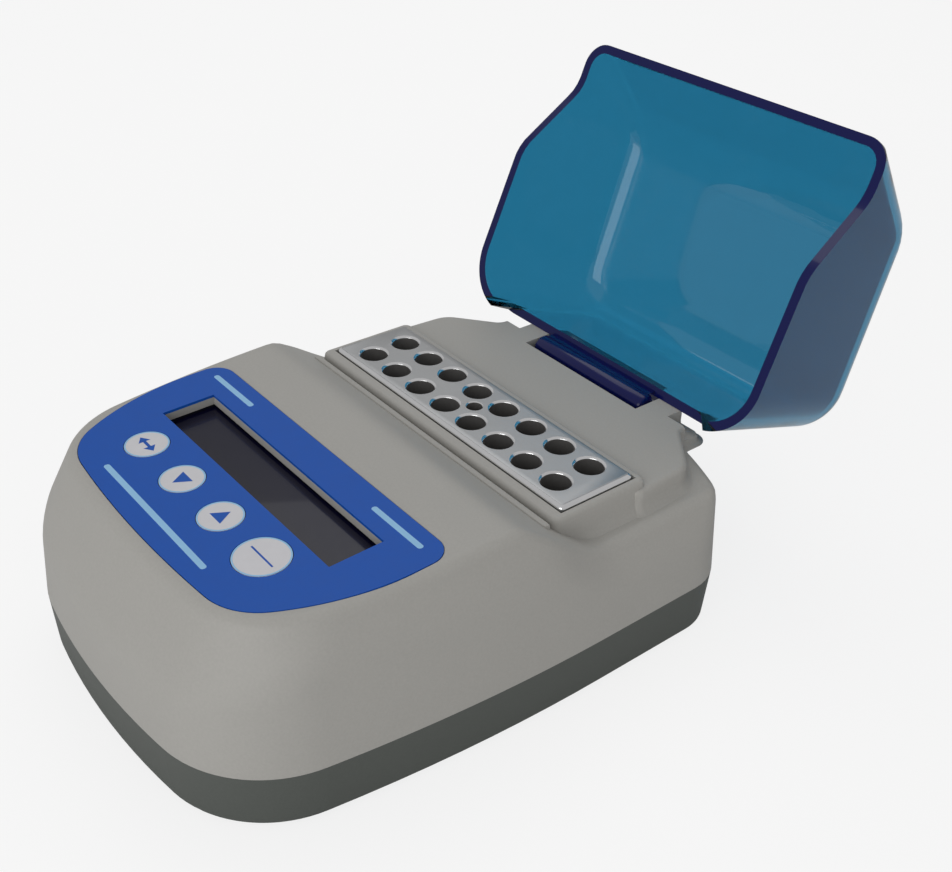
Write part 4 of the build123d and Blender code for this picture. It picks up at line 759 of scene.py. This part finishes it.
class DRYBATH_OT_lid(bpy.types.Operator):
    """Shape and finish the clear lid, standing open"""

    bl_idname = "dry_bath.lid"
    bl_label = "Lid"

    def execute(self, context):
        tint = context.scene.dry_bath_finish.lid
        sizes = context.scene.dry_bath_sizes
        wall = millimetres(sizes.lid_wall)
        plan = self.plan()
        outer = skin(lid_field, plan, LID_SPINE, LID_BASE_Z, 0.0, 46, rim=self.rim, care=1.0)
        inner = skin(lid_field, plan, LID_SPINE, LID_BASE_Z, wall, 46, rim=self.rim, care=1.0)
        rings = [inner[:, level] for level in range(inner.shape[1] - 1, -1, -1)]
        rings += [outer[:, level] for level in range(outer.shape[1])]
        points, faces = loft(rings, capped=False)
        piece = raw_object("clear_lid", (self.opened(points), faces))
        clear = clear_lid("lid_clear_blue", tint)
        rim = smooth_plastic("lid_rim", (0.0015, 0.004, 0.075), 0.22, 0.3)
        finish_piece(piece, "lid", "lid_clear_blue", clear, rim, replaces=["lid"], sharp=40.0)
        for face in self.rim_faces(piece, wall):
            piece.data.polygons[face].material_index = 1
        self.knuckle(rim, millimetres(sizes.barrel))
        return {"FINISHED"}

    def plan(self):
        """Plan points that the lid's columns aim at, evenly spread along its outline."""
        front_x = LID_HALF_WIDTH - LID_TAPER
        corners = [(-front_x, LID_FRONT_Y, 6.0), (front_x, LID_FRONT_Y, 6.0),
                   (LID_HALF_WIDTH, LID_REAR_Y, 13.0), (-LID_HALF_WIDTH, LID_REAR_Y, 13.0)]
        points = rounded(corners, step=4.0)
        dense = []
        for index, point in enumerate(points):
            ahead = points[(index + 1) % len(points)]
            count = max(1, round(np.hypot(*(ahead - point)) / 1.8))
            dense += [point + (ahead - point) * share / count for share in range(count)]
        return np.array(dense)

    def rim(self, x, y, z):
        """Height above the lid's edge, which clears the case's top and the hinge neck."""
        seat = top_field(y, z) - LID_SEAT_GAP
        over_neck = (np.abs(x) < NECK_X) & (y > NECK_Y)
        return np.where(over_neck, np.minimum(z - NECK_Z, seat), seat)

    def opened(self, points):
        """Points of the closed lid turned open about the hinge pin."""
        y, z = swung(points[:, 1], points[:, 2], -LID_SWING)
        return np.column_stack((points[:, 0], y, z))

    def rim_faces(self, piece, wall):
        """Faces of the lid's edge, found by turning the piece shut."""
        found = []
        for face in piece.data.polygons:
            x, y, z = face.center * 1000.0
            shut = np.array(swung(y - BLOCK_Y, z, LID_SWING))
            edge = float(self.rim(np.array(x), *shut))
            depth = float(lid_field(np.array(x), *shut))
            if abs(edge) < 0.25 and 0.2 - wall < depth < -0.2:
                found.append(face.index)
        return found

    def knuckle(self, finish, radius):
        """Hinge barrel with the web that joins it to the lid's rear wall."""
        half = [(17.8, radius - 1.9), (17.8, radius - 0.8), (17.5, radius - 0.3), (16.9, radius)]
        profile = [(-x, size) for x, size in half] + half[::-1]
        turns = np.linspace(0.0, 2.0 * math.pi, 40, endpoint=False)
        rings = [np.column_stack((np.full(40, x), HINGE_Y + size * np.cos(turns),
                                  HINGE_Z + size * np.sin(turns))) for x, size in profile]
        barrel = loft(rings, closed=True)
        outline = np.array(((HINGE_Y, HINGE_Z), (HINGE_Y, HINGE_Z + radius), (31.4, 42.8),
                            (31.4, NECK_Z), (32.3, HINGE_Z)))
        web = loft([np.column_stack((np.full(5, x), outline)) for x in (-16.8, 16.8)])
        points, faces = joined([barrel, web])
        piece = raw_object("lid_knuckle", (self.opened(points), faces))
        finish_piece(piece, "lid", "lid_clear_blue", finish)


class DRYBATH_OT_panel(bpy.types.Operator):
    """Finish the membrane panel, its print, its keys and the display"""

    bl_idname = "dry_bath.panel"
    bl_label = "Key panel"

    def execute(self, context):
        finish = context.scene.dry_bath_finish
        dress(smooth_plastic("panel_film", finish.film, 0.42), "panel_overlay")
        dress(smooth_plastic("key_film", finish.key, 0.45), *KEYS)
        dress(smooth_plastic("display_pane", (0.003, 0.003, 0.018), 0.25, 0.2), "display_glass")
        dress(smooth_plastic("display_surround", (0.008, 0.008, 0.012), 0.4), "display_frame")
        dress(smooth_plastic("backlight_plastic", (0.7, 0.7, 0.68), 0.4), "display_backlight")
        light = smooth_plastic("print_light_blue", finish.print_light, 0.4)
        blue = smooth_plastic("print_blue", finish.film, 0.4)
        self.printed("panel_bars", [self.bar(*bar) for bar in BARS], "case", light)
        for name, (x, radius) in KEYS.items():
            self.printed(name + "_edge", [self.hoop(x, radius - 0.32, radius - 0.02)], name, light)
            self.printed(name + "_sign", self.sign(name, x), name, blue)
        return {"FINISHED"}

    def printed(self, name, forms, body, finish):
        """Ink that stands a few hundredths above the film."""
        piece = raw_object(name, joined(forms))
        finish_piece(piece, body, "key_grey" if body != "case" else "panel_blue", finish)

    def ink(self, outline):
        """Flat print over an outline."""
        return prism(outline, lambda y: panel_z(y) + PRINT_LOW, lambda y: panel_z(y) + PRINT_HIGH)

    def bar(self, x_low, x_high, y):
        """Bar with rounded ends."""
        half = 0.62
        corners = [(x_low, y - half, half * 0.9), (x_high, y - half, half * 0.9),
                   (x_high, y + half, half * 0.9), (x_low, y + half, half * 0.9)]
        return self.ink(rounded(corners, step=15.0))

    def hoop(self, x, inner, outer):
        """Ring round a key's edge."""
        low, high = (lambda y: panel_z(y) + PRINT_LOW), (lambda y: panel_z(y) + RING_HIGH)
        rings = [ring(circle(x, KEY_Y, inner, 72), low), ring(circle(x, KEY_Y, outer, 72), low),
                 ring(circle(x, KEY_Y, outer, 72), high), ring(circle(x, KEY_Y, inner, 72), high)]
        return loft(rings, closed=True)

    def sign(self, name, x):
        """Plain sign of a key."""
        if name == "key_down":
            return [self.ink(np.array(((x - 1.95, KEY_Y + 1.2), (x, KEY_Y - 2.1), (x + 1.95, KEY_Y + 1.2))))]
        if name == "key_up":
            return [self.ink(np.array(((x - 1.95, KEY_Y - 1.2), (x + 1.95, KEY_Y - 1.2), (x, KEY_Y + 2.1))))]
        if name == "key_return":
            shaft = self.ink(rectangle(x - 1.2, x + 1.2, KEY_Y - 0.32, KEY_Y + 0.32))
            heads = [self.ink(np.array(((x + s * 1.1, KEY_Y - 1.25), (x + s * 2.9, KEY_Y),
                                        (x + s * 1.1, KEY_Y + 1.25)))[::s]) for s in (-1, 1)]
            return [shaft, *heads]
        return [self.ink(rectangle(x - 3.6, x + 3.6, KEY_Y - 0.18, KEY_Y + 0.18))]


class DRYBATH_OT_fittings(bpy.types.Operator):
    """Finish the power fittings in the rear wall"""

    bl_idname = "dry_bath.fittings"
    bl_label = "Power fittings"

    def execute(self, context):
        dress(smooth_plastic("fitting_black", (0.015, 0.015, 0.016), 0.38), "switch_housing", "power_rocker",
              "power_inlet")
        dress(metal("contact_brass", (0.62, 0.42, 0.14), 0.25), "inlet_contact", "switch_terminals")
        return {"FINISHED"}


class DRYBATH_OT_electronics(bpy.types.Operator):
    """Finish the boards, their parts and the leads"""

    bl_idname = "dry_bath.electronics"
    bl_label = "Electronics"

    def execute(self, context):
        dress(smooth_plastic("solder_mask", (0.01, 0.09, 0.03), 0.3), "main_board", "key_board")
        dress(smooth_plastic("component_black", (0.02, 0.02, 0.022), 0.45), "controller_chip", "buzzer",
              "driver_transistor", "key_switches", "thermal_cutout")
        dress(smooth_plastic("capacitor_sleeve", (0.01, 0.015, 0.07), 0.25), "capacitors")
        dress(smooth_plastic("lead_white", (0.65, 0.65, 0.62), 0.4), "board_headers", "sensor_lead")
        dress(smooth_plastic("lead_red", (0.35, 0.01, 0.01), 0.4), "heater_leads")
        dress(smooth_plastic("ribbon_grey", (0.26, 0.27, 0.28), 0.45), "ribbon")
        return {"FINISHED"}


class DRYBATH_OT_stage(bpy.types.Operator):
    """Set the floor, the soft light and the camera"""

    bl_idname = "dry_bath.stage"
    bl_label = "Stage"

    def execute(self, context):
        settings = context.scene.dry_bath_stage
        self.floor(settings)
        self.lights(settings)
        self.camera(context.scene, settings)
        context.scene.view_settings.view_transform = "Standard"
        return {"FINISHED"}

    def floor(self, settings):
        """Pale floor that looks nearly white and keeps the shadow."""
        shape = bmesh.new()
        bmesh.ops.create_circle(shape, cap_ends=True, radius=3.0, segments=96)
        mesh = bpy.data.meshes.new("floor")
        shape.to_mesh(mesh)
        shape.free()
        floor = bpy.data.objects.new("floor", mesh)
        bpy.context.scene.collection.objects.link(floor)
        shader = Shader("pale_floor")
        tone = shader.blend(shader.grain(60.0), (0.80, 0.80, 0.80), (0.84, 0.84, 0.84))
        material = shader.surface(Base_Color=tone, Roughness=0.8, Specular_IOR_Level=0.0)
        plain = shader.tree.nodes["Principled BSDF"]
        glow = shader.node("ShaderNodeEmission", {}, {"Color": (1.0, 1.0, 1.0), "Strength": 1.0})
        path = shader.node("ShaderNodeLightPath", {}, {}, "Is Camera Ray")
        through = shader.node("ShaderNodeLightPath", {}, {}, "Is Transmission Ray")
        share = shader.node("ShaderNodeMath", {"operation": "MAXIMUM"}, {0: path, 1: through}) * settings.glow
        plain = Socket(shader, plain.outputs[0])
        both = shader.node("ShaderNodeMixShader", {}, {0: share, 1: plain, 2: glow})
        shader.tree.links.new(both.output, shader.end.inputs["Surface"])
        mesh.materials.append(material)

    def lights(self, settings):
        """Even surroundings and two large soft panels."""
        world = bpy.data.worlds.new("surroundings")
        world.use_nodes = True
        tree = world.node_tree
        back = tree.nodes["Background"]
        back.inputs["Color"].default_value = (1.0, 1.0, 1.0, 1.0)
        rays = tree.nodes.new("ShaderNodeLightPath")
        seen = tree.nodes.new("ShaderNodeMath")
        seen.operation = "MAXIMUM"
        tree.links.new(rays.outputs["Is Camera Ray"], seen.inputs[0])
        tree.links.new(rays.outputs["Is Transmission Ray"], seen.inputs[1])
        strength = tree.nodes.new("ShaderNodeMapRange")
        strength.inputs["To Min"].default_value = settings.world
        strength.inputs["To Max"].default_value = 1.0
        tree.links.new(seen.outputs[0], strength.inputs["Value"])
        tree.links.new(strength.outputs[0], back.inputs["Strength"])
        bpy.context.scene.world = world
        # Name, place and size in metres, and power
        panels = (("key_light", (-0.35, 0.25, 0.75), 0.6, settings.key_power),
                  ("fill_light", (0.35, -0.75, 0.28), 0.7, settings.fill_power))
        for name, spot, size, power in panels:
            lamp = bpy.data.lights.new(name, "AREA")
            lamp.size = size
            lamp.energy = power
            panel = bpy.data.objects.new(name, lamp)
            bpy.context.scene.collection.objects.link(panel)
            panel.location = spot
            aim = Vector((0.0, 0.0, 0.03)) - Vector(spot)
            panel.rotation_euler = aim.to_track_quat("-Z", "Y").to_euler()

    def camera(self, scene, settings):
        """Camera at the photograph's place, from its azimuth, elevation and roll."""
        azimuth, elevation, roll = (math.radians(angle) for angle in CAMERA_ANGLES)
        back = Vector((math.sin(azimuth) * math.cos(elevation), -math.cos(azimuth) * math.cos(elevation),
                       math.sin(elevation)))
        right = Vector((math.cos(azimuth), math.sin(azimuth), 0.0))
        up = back.cross(right)
        turned_right = math.cos(roll) * right + math.sin(roll) * up
        turned_up = math.cos(roll) * up - math.sin(roll) * right
        data = bpy.data.cameras.new("camera")
        data.lens = settings.lens
        data.sensor_width = 36.0
        data.clip_start = 0.01
        camera = bpy.data.objects.new("camera", data)
        scene.collection.objects.link(camera)
        turn = Matrix((turned_right, turned_up, back)).transposed().to_4x4()
        camera.matrix_world = Matrix.Translation(place(*CAMERA_PLACE)) @ turn
        scene.camera = camera


class DRYBATH_PT_sidebar(bpy.types.Panel):
    """Steps and settings of the dry bath incubator."""

    bl_idname = "DRYBATH_PT_sidebar"
    bl_label = "Dry bath incubator"
    bl_space_type = "VIEW_3D"
    bl_region_type = "UI"
    bl_category = "Dry Bath"

    def draw(self, context):
        column = self.layout.column()
        for step in STEPS:
            column.operator(step.bl_idname)
        scene = context.scene
        for group in (scene.dry_bath_sizes, scene.dry_bath_finish, scene.dry_bath_stage):
            for name in group.__annotations__:
                column.prop(group, name)


STEPS = (DRYBATH_OT_case, DRYBATH_OT_block, DRYBATH_OT_lid, DRYBATH_OT_panel, DRYBATH_OT_fittings,
         DRYBATH_OT_electronics, DRYBATH_OT_stage)
CLASSES = (SizeSettings, FinishSettings, StageSettings, *STEPS, DRYBATH_PT_sidebar)


def register():
    """Add the classes and the scene's settings."""
    for item in CLASSES:
        bpy.utils.register_class(item)
    bpy.types.Scene.dry_bath_sizes = PointerProperty(type=SizeSettings)
    bpy.types.Scene.dry_bath_finish = PointerProperty(type=FinishSettings)
    bpy.types.Scene.dry_bath_stage = PointerProperty(type=StageSettings)


def unregister():
    """Take the classes and the scene's settings away."""
    del bpy.types.Scene.dry_bath_stage
    del bpy.types.Scene.dry_bath_finish
    del bpy.types.Scene.dry_bath_sizes
    for item in reversed(CLASSES):
        bpy.utils.unregister_class(item)


def main():
    """Run every step in order."""
    register()
    for step in STEPS:
        group, name = step.bl_idname.split(".")
        getattr(getattr(bpy.ops, group), name)()


if __name__ == "__main__":
    main()
